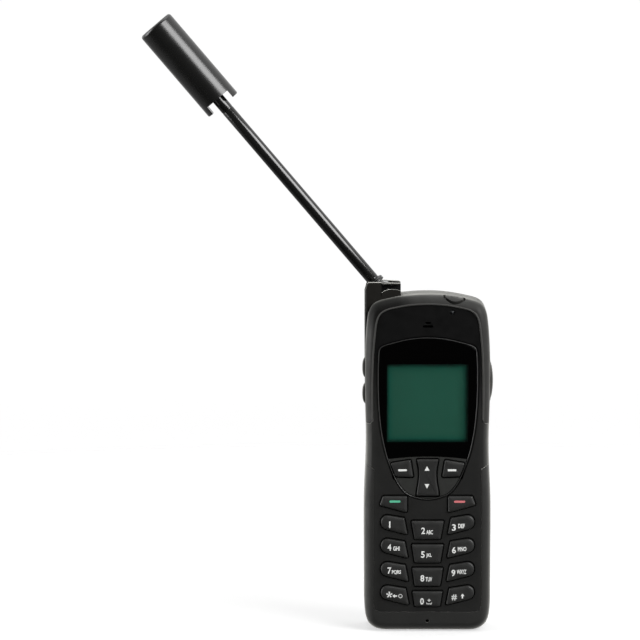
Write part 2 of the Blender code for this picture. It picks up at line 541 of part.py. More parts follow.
# ---------------------------------------------------------------- antenna: built upright on its swivel, then leaned over
swivel = bpy.data.objects.new("swivel_axis", None)
bpy.context.scene.collection.objects.link(swivel)
swivel.location = (ANT_X * MM, ANT_Y * MM, ANT_Z * MM)
swivel.rotation_euler = (0.0, math.radians(ANT_TILT), 0.0)

knuckle = cyl("antenna_knuckle", (0, 0, 0), (0, 1, 0), 5.0, 7.6, 32, kind="mast", empty=swivel)
socket = cyl("knuckle_socket", (0, 0, 2.5), (0, 0, 1), 3.75, 5.2, 24, empty=swivel, **H)
trunnions = cyl("knuckle_trunnions", (0, 0, 0), (0, 1, 0), 1.1, 12.6, 18, empty=swivel, **H)
join(knuckle, trunnions)
cut_rounds(knuckle, ((0, 0, 0), (0, 0, 1), 2.95, 30.0), ((0, 0, -6.0), (0, 0, 1), 3.65, 7.0), empty=swivel)

turned("mast_stop", [(2.75, -4.0), (3.35, -4.0), (3.35, -2.9), (2.75, -2.9)], 20, kind="steel", empty=swivel)
turned("mast_bushing", [(2.9, 5.3), (4.0, 5.3), (4.0, 6.6), (3.5, 7.2), (2.9, 7.2)], 24, kind="steel", empty=swivel)
turned("mast_tube", [(1.9, -4.4), (MAST_R, -4.4), (MAST_R, MAST_TOP), (1.9, MAST_TOP)], 20, kind="mast", empty=swivel)

radome = turned("antenna_radome", [(2.9, CAP_EARS), (CAP_R - 0.25, CAP_EARS), (CAP_R, CAP_EARS + 0.3), (CAP_R, CAP_TOP - 1.0), (CAP_R - 0.35, CAP_TOP - 0.3),
                                   (CAP_R - 1.1, CAP_TOP), (0.6, CAP_TOP), (0.6, CAP_TOP - 1.4), (6.6, CAP_TOP - 1.4), (6.6, 110.0), (2.9, 110.0)], 32,
                kind="mast", empty=swivel)
cut(radome, box("radome_slot", (-5.45, -20, CAP_EARS - 3), (5.45, 20, CAP_FLOOR), empty=swivel, **H))
join(radome, cyl("radome_crown", (0, 0, CAP_TOP - 0.75), (0, 0, 1), 1.2, 1.3, 12, empty=swivel, **H))
turned("helix_core", [(1.0, 111.6), (5.0, 111.6), (5.0, 146.6), (1.0, 146.6)], 24, kind="white", empty=swivel)

# four helical strips between an upper and a lower ring, half a turn long
winding = bmesh.new()
COLS, ROWS, R0, Z0, Z1 = 16, 10, 5.95, 113.0, 145.2
grid = [[winding.verts.new((R0 * math.cos(2 * math.pi * c / COLS + math.pi * r / ROWS), R0 * math.sin(2 * math.pi * c / COLS + math.pi * r / ROWS),
                            Z0 + (Z1 - Z0) * r / ROWS)) for c in range(COLS)] for r in range(ROWS + 1)]
for r in range(ROWS):
    for c in range(COLS):
        if r in (0, ROWS - 1) or c % 4 == 0:
            winding.faces.new((grid[r][c], grid[r][(c + 1) % COLS], grid[r + 1][(c + 1) % COLS], grid[r + 1][c]))
bmesh.ops.delete(winding, geom=[v for v in winding.verts if not v.link_faces], context="VERTS")
winding = finish("helix_winding", winding, kind="copper", empty=swivel)
thick = winding.modifiers.new("thickness", "SOLIDIFY")
thick.thickness = 0.25 * MM
thick.offset = 1.0
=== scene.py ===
"""Looks of the handheld satellite phone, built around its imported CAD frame. Lengths are in millimetres until a mesh is finished."""

import json
import math

import bmesh
import bpy
from mathutils import Matrix, Vector


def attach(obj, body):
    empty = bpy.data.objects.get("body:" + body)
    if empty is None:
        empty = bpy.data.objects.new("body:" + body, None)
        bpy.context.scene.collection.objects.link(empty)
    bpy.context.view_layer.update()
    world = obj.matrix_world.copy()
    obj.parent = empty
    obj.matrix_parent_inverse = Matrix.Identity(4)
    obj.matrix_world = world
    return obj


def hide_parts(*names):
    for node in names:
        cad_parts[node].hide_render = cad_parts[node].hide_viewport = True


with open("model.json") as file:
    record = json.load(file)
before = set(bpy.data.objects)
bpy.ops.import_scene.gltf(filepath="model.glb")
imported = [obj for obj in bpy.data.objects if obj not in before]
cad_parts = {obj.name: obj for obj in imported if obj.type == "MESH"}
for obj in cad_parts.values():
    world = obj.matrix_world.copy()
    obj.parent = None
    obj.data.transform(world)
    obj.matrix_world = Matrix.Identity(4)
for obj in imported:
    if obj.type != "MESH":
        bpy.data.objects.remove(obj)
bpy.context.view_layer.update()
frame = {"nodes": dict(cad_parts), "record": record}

MM = 0.001
NODES = frame["nodes"]
BODY_OF = {n: b for b, ns in frame["record"]["behaviour"]["bodies"].items() for n in ns}
SLOT_OF = {s["node"]: s["material_slot"] for s in frame["record"]["subparts"]}

# ---------------------------------------------------------------- dimensions shared with the CAD part
FRONT_Y, PARTING_Y, REAR_Y, BACK_Y = -15.0, -0.8, 13.2, 15.0
PANEL_Y = -14.72  # the keypad face lies a little below the rubber's lip
SKIN, GAP, WALL = 1.6, 0.2, 1.4
KEY_PITCH, KEY_FLOOR = 9.97, 10.55
ANT_X, ANT_Y, ANT_Z, ANT_TILT = -18.0, 1.5, 141.6, -40.5
MAST_R, MAST_TOP = 2.65, 109.6
CAP_R, CAP_EARS, CAP_FLOOR, CAP_TOP = 7.9, 104.6, 108.3, 148.7
VOL_Y, VOL_Z, JACK_Z = -5.5, (100.1, 111.0), 105.6
POWER = Vector((11.1, -10.2, 139.9))
POWER_AXIS = Vector((0.0, -math.sin(math.radians(25.0)), math.cos(math.radians(25.0))))
POWER_R = 4.05
SCREWS = {"screw_lower_left": (-19.4, 8.6), "screw_lower_right": (19.4, 8.6), "screw_upper_right": (19.4, 126.0),
          "screw_upper_left": (-7.6, 131.2)}
FLAP = (12.5, 100.2, 6.2, 5.2)
USB = (4.0, 12.0, 1.5, 5.1)

HALF = [
    (8.0, 0.0), (17.4, 0.0), (20.6, 0.35), (23.0, 1.35), (24.8, 3.1), (25.8, 5.4),
    (26.3, 8.2), (26.55, 11.5), (26.6, 20.0), (26.65, 33.0), (26.7, 46.0), (26.6, 56.0),
    (26.3, 64.0), (25.95, 72.0), (25.8, 80.0), (25.95, 88.0), (26.2, 97.0), (26.35, 108.0),
    (26.2, 118.0), (25.8, 126.0), (25.25, 131.6), (24.6, 135.0), (23.2, 137.6),
    (20.9, 139.1), (16.0, 140.4), (10.0, 141.5), (5.0, 142.05),
]
TOP = (0.0, 142.2)
LEFT_REAR = [(26.35, 108.0), (26.4, 118.0), (26.44, 126.0), (26.44, 131.6), (26.44, 135.0),
             (26.1, 138.2), (24.2, 140.3), (18.0, 141.0), (10.0, 141.6), (5.0, 142.05)]
PANEL_HALF = [
    (12.0, 8.2), (20.4, 8.3), (22.0, 9.1), (22.6, 11.0), (22.65, 30.0), (22.65, 50.0),
    (22.6, 70.0), (22.7, 84.0), (22.9, 98.0), (22.85, 108.0), (22.5, 118.0), (21.8, 126.0),
    (21.1, 131.0), (19.9, 133.9), (17.6, 135.6), (13.6, 136.7), (7.0, 137.8),
]
SHIELD_HALF = [
    (5.6, 56.75), (8.9, 58.2), (11.4, 60.7), (14.0, 65.0), (16.1, 70.2), (18.1, 76.3),
    (19.8, 84.6), (20.6, 91.5), (21.05, 98.5), (21.2, 108.0), (20.95, 116.5), (20.6, 119.3),
    (19.6, 120.7), (14.0, 122.6), (7.0, 124.1),
]
LENS_Z, LENS_Z_END = 74.3, 73.4
SCREEN = (-17.2, 17.0, 80.3, 113.3)
LEFT_KEY = [(-19.65, 49.85, 2.7), (-9.8, 48.2, 0.5), (-8.35, 41.0, 0.5), (-19.65, 44.0, 3.0)]


# ---------------------------------------------------------------- outlines
def mirrored(half, bottom=None, top=None, left=None):
    left = left or half
    return ([bottom] if bottom else []) + list(half) + ([top] if top else []) + [(-x, z) for x, z in reversed(left)]


def smooth(pts, step=1.2, floor=None):
    """Closed centripetal Catmull-Rom curve through the points, resampled at about the given step."""
    out = []
    n = len(pts)
    for i in range(n):
        p0, p1, p2, p3 = (Vector(pts[(i + k) % n]) for k in (-1, 0, 1, 2))
        t0 = 0.0
        t1 = t0 + math.sqrt((p1 - p0).length)
        t2 = t1 + math.sqrt((p2 - p1).length)
        t3 = t2 + math.sqrt((p3 - p2).length)
        m = max(1, round((p2 - p1).length / step))
        for k in range(m):
            t = t1 + (t2 - t1) * k / m
            a1 = p0 * ((t1 - t) / (t1 - t0)) + p1 * ((t - t0) / (t1 - t0))
            a2 = p1 * ((t2 - t) / (t2 - t1)) + p2 * ((t - t1) / (t2 - t1))
            a3 = p2 * ((t3 - t) / (t3 - t2)) + p3 * ((t - t2) / (t3 - t2))
            b1 = a1 * ((t2 - t) / (t2 - t0)) + a2 * ((t - t0) / (t2 - t0))
            b2 = a2 * ((t3 - t) / (t3 - t1)) + a3 * ((t - t1) / (t3 - t1))
            c = b1 * ((t2 - t) / (t2 - t1)) + b2 * ((t - t1) / (t2 - t1))
            out.append((c.x, c.y if floor is None else max(floor, c.y)))
    return out


def offset(pts, d):
    out = []
    n = len(pts)
    for i in range(n):
        p, a, b = Vector(pts[i]), Vector(pts[i - 1]), Vector(pts[(i + 1) % n])
        d0, d1 = (p - a).normalized(), (b - p).normalized()
        n0, n1 = Vector((d0.y, -d0.x)), Vector((d1.y, -d1.x))
        m = n0 + n1
        m = m.normalized() if m.length > 1e-9 else n0
        m /= max(0.5, m.dot(n0))
        out.append((p.x + m.x * d, p.y + m.y * d))
    return out


def corner_ring(corners, d=0.0, seg=5, least=0.22):
    """Polygon of (x, z, radius) corners, drawn in by d, with its corners still rounded."""
    n = len(corners)
    pts = [Vector(c[:2]) for c in corners]
    lines = []
    for i in range(n):
        a, b = pts[i], pts[(i + 1) % n]
        u = (b - a).normalized()
        nrm = Vector((-u.y, u.x))
        lines.append((a + nrm * d, u))
    out = []
    for i in range(n):
        (p, u), (q, v) = lines[i - 1], lines[i]
        den = u.x * v.y - u.y * v.x
        w = q - p
        s = (w.x * v.y - w.y * v.x) / den
        c = p + u * s
        a, b = -u, v
        half = math.acos(max(-1, min(1, a.dot(b)))) / 2
        r = max(least, corners[i][2] - d)
        t = r / math.tan(half)
        m = c + (a + b).normalized() * (r / math.sin(half))
        e0, e1 = c + a * t - m, c + b * t - m
        a0 = math.atan2(e0.y, e0.x)
        turn = (math.atan2(e1.y, e1.x) - a0 + math.pi) % (2 * math.pi) - math.pi
        for k in range(seg + 1):
            ang = a0 + turn * k / seg
            out.append((m.x + r * math.cos(ang), m.y + r * math.sin(ang)))
    return out


BODY = smooth(mirrored(HALF, (0.0, 0.0), TOP), 1.6, 0.0)
BODY_REAR = smooth(mirrored(HALF, (0.0, 0.0), TOP, left=HALF[:17] + LEFT_REAR), 1.6, 0.0)
PANEL = smooth(mirrored(PANEL_HALF, (0.0, 8.2), (0.0, 138.15)), 1.3)
SHIELD = smooth(mirrored(SHIELD_HALF, (0.0, 55.8), (0.0, 124.6)), 1.0)

# ---------------------------------------------------------------- meshes
HELPERS = []


def to_object(name, bm):
    bmesh.ops.recalc_face_normals(bm, faces=bm.faces)
    mesh = bpy.data.meshes.new(name)
    bm.to_mesh(mesh)
    bm.free()
    obj = bpy.data.objects.new(name, mesh)
    bpy.context.scene.collection.objects.link(obj)
    return obj


def rings_into(bm, rings, close=True):
    loops = [[bm.verts.new(p) for p in ring] for ring in rings]
    n = len(loops[0])
    for a, b in zip(loops, loops[1:]):
        for i in range(n):
            j = (i + 1) % n
            bm.faces.new((a[i], a[j], b[j], b[i]))
    if close:
        bm.faces.new(loops[0][::-1])
        bm.faces.new(loops[-1])
    return loops


def stack(name, outline, profile):
    """profile: (inset, y) pairs. outline: points, or a function of the inset."""
    bm = bmesh.new()
    ring = outline if callable(outline) else (lambda d: offset(outline, -d))
    rings_into(bm, [[(x, y, z) for x, z in ring(d)] for d, y in profile])
    return to_object(name, bm)


def cross_lines(obj, levels):
    """Adds an edge loop at each height, so that long flat faces can be bent."""
    bm = bmesh.new()
    bm.from_mesh(obj.data)
    for z in levels:
        bmesh.ops.bisect_plane(bm, geom=bm.verts[:] + bm.edges[:] + bm.faces[:], dist=1e-5, plane_co=(0, 0, z), plane_no=(0, 0, 1))
    bm.to_mesh(obj.data)
    bm.free()
    return obj


def hoop(name, outline, section):
    """Closed ring that follows the outline; section: (inset, y) points of its closed cross-section."""
    bm = bmesh.new()
    loops = rings_into(bm, [[(x, y, z) for x, z in offset(outline, -d)] for d, y in section], close=False)
    n = len(loops[0])
    for i in range(n):
        j = (i + 1) % n
        bm.faces.new((loops[-1][i], loops[-1][j], loops[0][j], loops[0][i]))
    return to_object(name, bm)


def prism(name, outline, y0, y1):
    bm = bmesh.new()
    rings_into(bm, [[(x, y, z) for x, z in outline] for y in (y0, y1)])
    return to_object(name, bm)


def slab(name, lo, hi, bevel=0.0, seg=2):
    bm = bmesh.new()
    c = [(a + b) / 2 for a, b in zip(lo, hi)]
    s = [b - a for a, b in zip(lo, hi)]
    bmesh.ops.create_cube(bm, size=1.0, matrix=Matrix.Translation(c) @ Matrix.Diagonal((*s, 1.0)))
    if bevel:
        bmesh.ops.bevel(bm, geom=list(bm.edges), offset=bevel, segments=seg, affect="EDGES", profile=0.5)
    return to_object(name, bm)


def rod(name, centre, axis, r, length, n=48, r2=None):
    bm = bmesh.new()
    turn = Vector((0, 0, 1)).rotation_difference(Vector(axis)).to_matrix().to_4x4()
    bmesh.ops.create_cone(bm, cap_ends=True, segments=n, radius1=r, radius2=r if r2 is None else r2, depth=length,
                          matrix=Matrix.Translation(centre) @ turn)
    return to_object(name, bm)


def turned(name, profile, n=64, place=None):
    """Spins a closed (radius, height) profile about Z, then places it. A radius of 0 closes on the axis."""
    bm = bmesh.new()
    loops = []
    for r, h in profile:
        if r <= 1e-6:
            loops.append([bm.verts.new((0, 0, h))])
        else:
            loops.append([bm.verts.new((r * math.cos(2 * math.pi * k / n), r * math.sin(2 * math.pi * k / n), h)) for k in range(n)])
    for a, b in zip(loops, loops[1:] + loops[:1]):
        for i in range(n):
            j = (i + 1) % n
            if len(a) == 1 and len(b) == 1:
                break
            if len(a) == 1:
                bm.faces.new((a[0], b[j], b[i]))
            elif len(b) == 1:
                bm.faces.new((a[i], a[j], b[0]))
            else:
                bm.faces.new((a[i], a[j], b[j], b[i]))
    if place is not None:
        bmesh.ops.transform(bm, matrix=place, verts=bm.verts)
    return to_object(name, bm)


def arc(cx, cy, r, a0, a1, n=5):
    """Points of an arc in a profile, angles in degrees."""
    return [(cx + r * math.cos(math.radians(a0 + (a1 - a0) * k / n)), cy + r * math.sin(math.radians(a0 + (a1 - a0) * k / n))) for k in range(n + 1)]


def volume(obj):
    bm = bmesh.new()
    bm.from_mesh(obj.data)
    v = bm.calc_volume()
    bm.free()
    return v


def carve(obj, *steps):
    """Boolean steps, (how, tool) or a tool to cut with, applied one by one. Each result's volume is tested, and a step
    that fails is tried again with its tool moved by a few hundredths of a millimetre. The tools are removed."""
    tools = []
    for s in steps:
        how, tool = s if isinstance(s, tuple) else ("DIFFERENCE", s)
        tools.append(tool)
        before, size = volume(obj), volume(tool)
        keep = obj.data.copy()
        for k in range(6):
            tool.location = (0.011 * k, 0.007 * k, 0.013 * k)
            m = obj.modifiers.new("b", "BOOLEAN")
            m.operation, m.solver, m.object = how, "EXACT", tool
            settle(obj)
            after = volume(obj)
            if how == "DIFFERENCE":
                good = before - 1.03 * size - 0.5 <= after <= before * 1.0001 + 0.01
            elif how == "UNION":
                good = max(before, size) * 0.99 <= after <= (before + size) * 1.01
            else:
                good = 0.0 < after <= min(before, size) * 1.01
            if good:
                break
            obj.data = keep.copy()
        else:
            print("carve: no clean result for", obj.name, how, tool.name, round(before, 1), round(size, 1), round(after, 1))
        tool.location = (0, 0, 0)
    for t in set(tools):
        if not t.get("keep"):
            bpy.data.objects.remove(t, do_unlink=True)
    return obj


def settle(obj):
    """Replaces the mesh with what its modifiers make of it."""
    dg = bpy.context.evaluated_depsgraph_get()
    mesh = bpy.data.meshes.new_from_object(obj.evaluated_get(dg))
    obj.modifiers.clear()
    old = obj.data
    obj.data = mesh
    bpy.data.meshes.remove(old)
    return obj


def soften(obj, width, seg=2, angle=32):
    """Rounds every edge sharper than the angle."""
    bm = bmesh.new()
    bm.from_mesh(obj.data)
    bmesh.ops.triangulate(bm, faces=[f for f in bm.faces if len(f.verts) > 40])  # big faces with holes stay whole this way
    bmesh.ops.remove_doubles(bm, verts=bm.verts, dist=0.002)
    bmesh.ops.dissolve_degenerate(bm, dist=0.002, edges=bm.edges)
    if not any(len(e.link_faces) != 2 for e in bm.edges):
        bm.to_mesh(obj.data)
    bm.free()
    m = obj.modifiers.new("round", "BEVEL")
    m.width, m.segments, m.limit_method, m.angle_limit = width, seg, "ANGLE", math.radians(angle)
    m.use_clamp_overlap = True
    m.harden_normals = False
    settle(obj)
    return obj


def done(obj, body, mat, replaces=None, slot=None, angle=40, weight=True):
    """Scales to metres, shades, gives the material, and rides on its body."""
    obj.data.transform(Matrix.Diagonal((MM, MM, MM, 1.0)))
    obj.data.shade_smooth()
    obj.data.set_sharp_from_angle(angle=math.radians(angle))
    obj.data.materials.clear()
    obj.data.materials.append(mat)
    if weight:
        w = obj.modifiers.new("shade", "WEIGHTED_NORMAL")
        w.keep_sharp = True
        settle(obj)
    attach(obj, body)
    if replaces:
        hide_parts(*([replaces] if isinstance(replaces, str) else replaces))
        slot = slot or SLOT_OF[replaces if isinstance(replaces, str) else replaces[0]]
    return obj


# ---------------------------------------------------------------- materials
def finish_of(name, rgb, rough, metal=0.0, grain=0.0, scale=900.0, vary=0.12, spec=0.5, coat=0.0, rough_vary=0.08, big=60.0, sheen=0.0, fuzz=0.3):
    """Principled plastic, rubber or metal with moulded grain, tonal drift and handling marks in its gloss."""
    m = bpy.data.materials.new(name)
    m.use_nodes = True
    nt = m.node_tree
    n, l = nt.nodes, nt.links
    b = n["Principled BSDF"]
    b.inputs["Metallic"].default_value = metal
    b.inputs["Specular IOR Level"].default_value = spec
    if coat:
        b.inputs["Coat Weight"].default_value = coat
        b.inputs["Coat Roughness"].default_value = 0.08
    if sheen:
        b.inputs["Sheen Weight"].default_value = sheen
        b.inputs["Sheen Roughness"].default_value = fuzz
        b.inputs["Sheen Tint"].default_value = (1.0, 0.995, 0.93, 1)
    tc = n.new("ShaderNodeTexCoord")
    drift = n.new("ShaderNodeTexNoise")
    drift.inputs["Scale"].default_value = big
    drift.inputs["Detail"].default_value = 5.0
    l.new(tc.outputs["Object"], drift.inputs["Vector"])
    ramp = n.new("ShaderNodeValToRGB")
    ramp.color_ramp.elements[0].position, ramp.color_ramp.elements[1].position = 0.3, 0.7
    ramp.color_ramp.elements[0].color = (*[c * (1 - vary) for c in rgb], 1)
    ramp.color_ramp.elements[1].color = (*[min(1, c * (1 + vary)) for c in rgb], 1)
    l.new(drift.outputs["Fac"], ramp.inputs["Fac"])
    l.new(ramp.outputs["Color"], b.inputs["Base Color"])
    marks = n.new("ShaderNodeTexNoise")
    marks.inputs["Scale"].default_value = big * 4.3
    marks.inputs["Detail"].default_value = 6.0
    l.new(tc.outputs["Object"], marks.inputs["Vector"])
    mr = n.new("ShaderNodeMapRange")
    mr.inputs["From Min"].default_value, mr.inputs["From Max"].default_value = 0.3, 0.7
    mr.inputs["To Min"].default_value, mr.inputs["To Max"].default_value = max(0.02, rough - rough_vary), min(1.0, rough + rough_vary)
    l.new(marks.outputs["Fac"], mr.inputs["Value"])
    l.new(mr.outputs["Result"], b.inputs["Roughness"])
    if grain:
        g = n.new("ShaderNodeTexNoise")
        g.inputs["Scale"].default_value = scale
        g.inputs["Detail"].default_value = 3.0
        g.inputs["Roughness"].default_value = 0.6
        l.new(tc.outputs["Object"], g.inputs["Vector"])
        bump = n.new("ShaderNodeBump")
        bump.inputs["Strength"].default_value = grain
        bump.inputs["Distance"].default_value = 0.0001
        l.new(g.outputs["Fac"], bump.inputs["Height"])
        l.new(bump.outputs["Normal"], b.inputs["Normal"])
    return m


def paint_shade_by_height(m, lo, hi, amount, fuzz_amount=None):
    """Painted shade: multiplies the colour by 1 below height lo (metres) down to amount above hi, so the upper face
    reads darker.
    The sheen falls to fuzz_amount in the same way, and is kept to the flanks."""
    nt = m.node_tree
    n, l = nt.nodes, nt.links
    tc = n.new("ShaderNodeTexCoord")
    sep = n.new("ShaderNodeSeparateXYZ")
    l.new(tc.outputs["Object"], sep.inputs["Vector"])
    r = n.new("ShaderNodeMapRange")
    r.interpolation_type = "SMOOTHSTEP"
    r.inputs["From Min"].default_value, r.inputs["From Max"].default_value = lo, hi
    r.inputs["To Min"].default_value, r.inputs["To Max"].default_value = 1.0, amount
    l.new(sep.outputs["Z"], r.inputs["Value"])
    grey = n.new("ShaderNodeCombineColor")
    for i in range(3):
        l.new(r.outputs["Result"], grey.inputs[i])
    mix = n.new("ShaderNodeMix")
    mix.data_type, mix.blend_type = "RGBA", "MULTIPLY"
    mix.inputs[0].default_value = 1.0
    base = next(k for k in l if k.to_socket == n["Principled BSDF"].inputs["Base Color"])
    l.new(base.from_socket, mix.inputs[6])
    l.new(grey.outputs["Color"], mix.inputs[7])
    l.new(mix.outputs[2], n["Principled BSDF"].inputs["Base Color"])
    if fuzz_amount is not None:
        weight = n["Principled BSDF"].inputs["Sheen Weight"]
        f = n.new("ShaderNodeMapRange")
        f.interpolation_type = "SMOOTHSTEP"
        f.inputs["From Min"].default_value, f.inputs["From Max"].default_value = lo, hi
        f.inputs["To Min"].default_value, f.inputs["To Max"].default_value = weight.default_value, fuzz_amount
        l.new(sep.outputs["Z"], f.inputs["Value"])
        side = n.new("ShaderNodeMath")
        side.operation = "ABSOLUTE"
        l.new(sep.outputs["X"], side.inputs[0])
        flank = n.new("ShaderNodeMapRange")
        flank.interpolation_type = "SMOOTHSTEP"
        flank.inputs["From Min"].default_value, flank.inputs["From Max"].default_value = 0.0205, 0.0245
        l.new(side.outputs["Value"], flank.inputs["Value"])
        both_ways = n.new("ShaderNodeMath")
        both_ways.operation = "MULTIPLY"
        l.new(f.outputs["Result"], both_ways.inputs[0])
        l.new(flank.outputs["Result"], both_ways.inputs[1])
        l.new(both_ways.outputs["Value"], weight)
    return m


def paint_shadow_near(m, centre, near, far, amount):
    """Painted shadow: multiplies colour, sheen and specular by amount within near of a point (metres), rising to 1 at
    far.
    """
    nt = m.node_tree
    n, l = nt.nodes, nt.links
    tc = n.new("ShaderNodeTexCoord")
    gap = n.new("ShaderNodeVectorMath")
    gap.operation = "DISTANCE"
    gap.inputs[1].default_value = centre
    l.new(tc.outputs["Object"], gap.inputs[0])
    r = n.new("ShaderNodeMapRange")
    r.interpolation_type = "SMOOTHSTEP"
    r.inputs["From Min"].default_value, r.inputs["From Max"].default_value = near, far
    r.inputs["To Min"].default_value, r.inputs["To Max"].default_value = amount, 1.0
    l.new(gap.outputs["Value"], r.inputs["Value"])
    b = n["Principled BSDF"]
    grey = n.new("ShaderNodeCombineColor")
    for i in range(3):
        l.new(r.outputs["Result"], grey.inputs[i])
    mix = n.new("ShaderNodeMix")
    mix.data_type, mix.blend_type = "RGBA", "MULTIPLY"
    mix.inputs[0].default_value = 1.0
    base = next(k for k in l if k.to_socket == b.inputs["Base Color"])
    l.new(base.from_socket, mix.inputs[6])
    l.new(grey.outputs["Color"], mix.inputs[7])
    l.new(mix.outputs[2], b.inputs["Base Color"])
    for name in ("Sheen Weight", "Specular IOR Level"):
        times = n.new("ShaderNodeMath")
        times.operation = "MULTIPLY"
        times.inputs[1].default_value = b.inputs[name].default_value
        l.new(r.outputs["Result"], times.inputs[0])
        l.new(times.outputs["Value"], b.inputs[name])
    return m


PANEL_MAT = finish_of("panel plastic", (0.0128, 0.0128, 0.0121), 0.55, grain=0.10, scale=1500, spec=0.22, sheen=1.0, fuzz=0.42)
# painted shade: the keypad face's colour and sheen fall towards the top
paint_shade_by_height(PANEL_MAT, 0.088, 0.118, 0.02, 0.22)
SHELL_MAT = finish_of("shell plastic", (0.0120, 0.0120, 0.0108), 0.56, grain=0.22, scale=1500, spec=0.4, sheen=0.6)
RUBBER_MAT = finish_of("bumper rubber", (0.0160, 0.0158, 0.0142), 0.62, grain=0.16, scale=1700, spec=0.4, sheen=0.66)
# painted shadow: the bumper rubber is darkened beside the antenna turret
paint_shadow_near(RUBBER_MAT, (-0.018, -0.012, 0.138), 0.005, 0.015, 0.30)
# painted light: a lighter copy of the bumper rubber, so that the side keys and the headset cover read lit on their
# sides
SIDE_PAINTED_LIGHT_MAT = finish_of("side key rubber", (0.0340, 0.0336, 0.0314), 0.62, grain=0.16, scale=1700, spec=0.4, sheen=1.0)
GRIP_MAT = finish_of("grip rubber", (0.0118, 0.0118, 0.0108), 0.66, grain=0.22, scale=1700, spec=0.4, sheen=1.0, fuzz=0.36)
KEY_MAT = finish_of("key plastic", (0.0205, 0.0206, 0.0198), 0.42, grain=0.08, scale=1600, spec=0.45)
BEZEL_MAT = finish_of("bezel plastic", (0.0245, 0.0252, 0.0232), 0.40, grain=0.06, scale=1600, spec=0.45)
LENS_MAT = finish_of("lens black", (0.0003, 0.0003, 0.0003), 0.05, vary=0.05, rough_vary=0.01, spec=0.10)
RIM_MAT = finish_of("rim gloss", (0.020, 0.020, 0.019), 0.36, rough_vary=0.03, spec=1.0)
# painted highlight: the lip rubber is a lighter copy of the bumper rubber
LIP_HIGHLIGHT_MAT = finish_of("bumper lip rubber, painted highlight", (0.0430, 0.0425, 0.0400), 0.62, grain=0.12, scale=1700, spec=0.4, sheen=0.1)
TURRET_MAT = finish_of("turret plastic", (0.0056, 0.0046, 0.0028), 0.58, grain=0.15, scale=1500, spec=0.3, sheen=1.0)
MAST_MAT = finish_of("mast lacquer", (0.0035, 0.0035, 0.0032), 0.20, spec=0.8, rough_vary=0.02, vary=0.10)
CAP_MAT = finish_of("radome plastic", (0.0040, 0.0040, 0.0036), 0.27, grain=0.02, scale=1500, spec=0.75, rough_vary=0.02)
STEEL_MAT = finish_of("tin plate", (0.55, 0.56, 0.58), 0.30, metal=1.0, grain=0.05, scale=1500)
DARK_STEEL_MAT = finish_of("blackened steel", (0.16, 0.16, 0.165), 0.34, metal=1.0, grain=0.05, scale=1500)
GOLD_MAT = finish_of("gold plate", (0.83, 0.60, 0.26), 0.24, metal=1.0)
COPPER_MAT = finish_of("copper foil", (0.72, 0.42, 0.25), 0.28, metal=1.0, grain=0.1, scale=1500)
SILICONE_MAT = finish_of("black silicone", (0.0035, 0.0035, 0.0035), 0.7, grain=0.1, scale=900, vary=0.05, spec=0.2)
MESH_MAT = finish_of("black acoustic mesh", (0.0030, 0.0030, 0.0030), 0.8, grain=0.4, scale=2500, vary=0.2, spec=0.1)
CARD_MAT = finish_of("white plastic", (0.70, 0.70, 0.68), 0.45, grain=0.1, scale=2000, vary=0.04)
GUIDE_MAT = finish_of("natural plastic", (0.60, 0.59, 0.56), 0.4, grain=0.1, scale=2000, vary=0.05)
BOARD_MAT = finish_of("solder mask", (0.015, 0.10, 0.045), 0.35, grain=0.3, scale=500, vary=0.25)
WHITE_INK = finish_of("white ink", (0.80, 0.81, 0.79), 0.5, vary=0.03, spec=0.3)
DIM_INK = finish_of("recessed mark", (0.004, 0.004, 0.004), 0.6, vary=0.05, spec=0.3)
GREEN_INK = finish_of("green ink", (0.105, 0.50, 0.31), 0.45, vary=0.04, spec=0.3)
RED_INK = finish_of("red ink", (0.62, 0.17, 0.18), 0.45, vary=0.04, spec=0.3)
LIGHT_MAT = finish_of("light pipe", (0.050, 0.053, 0.056), 0.22, vary=0.05, spec=0.5)


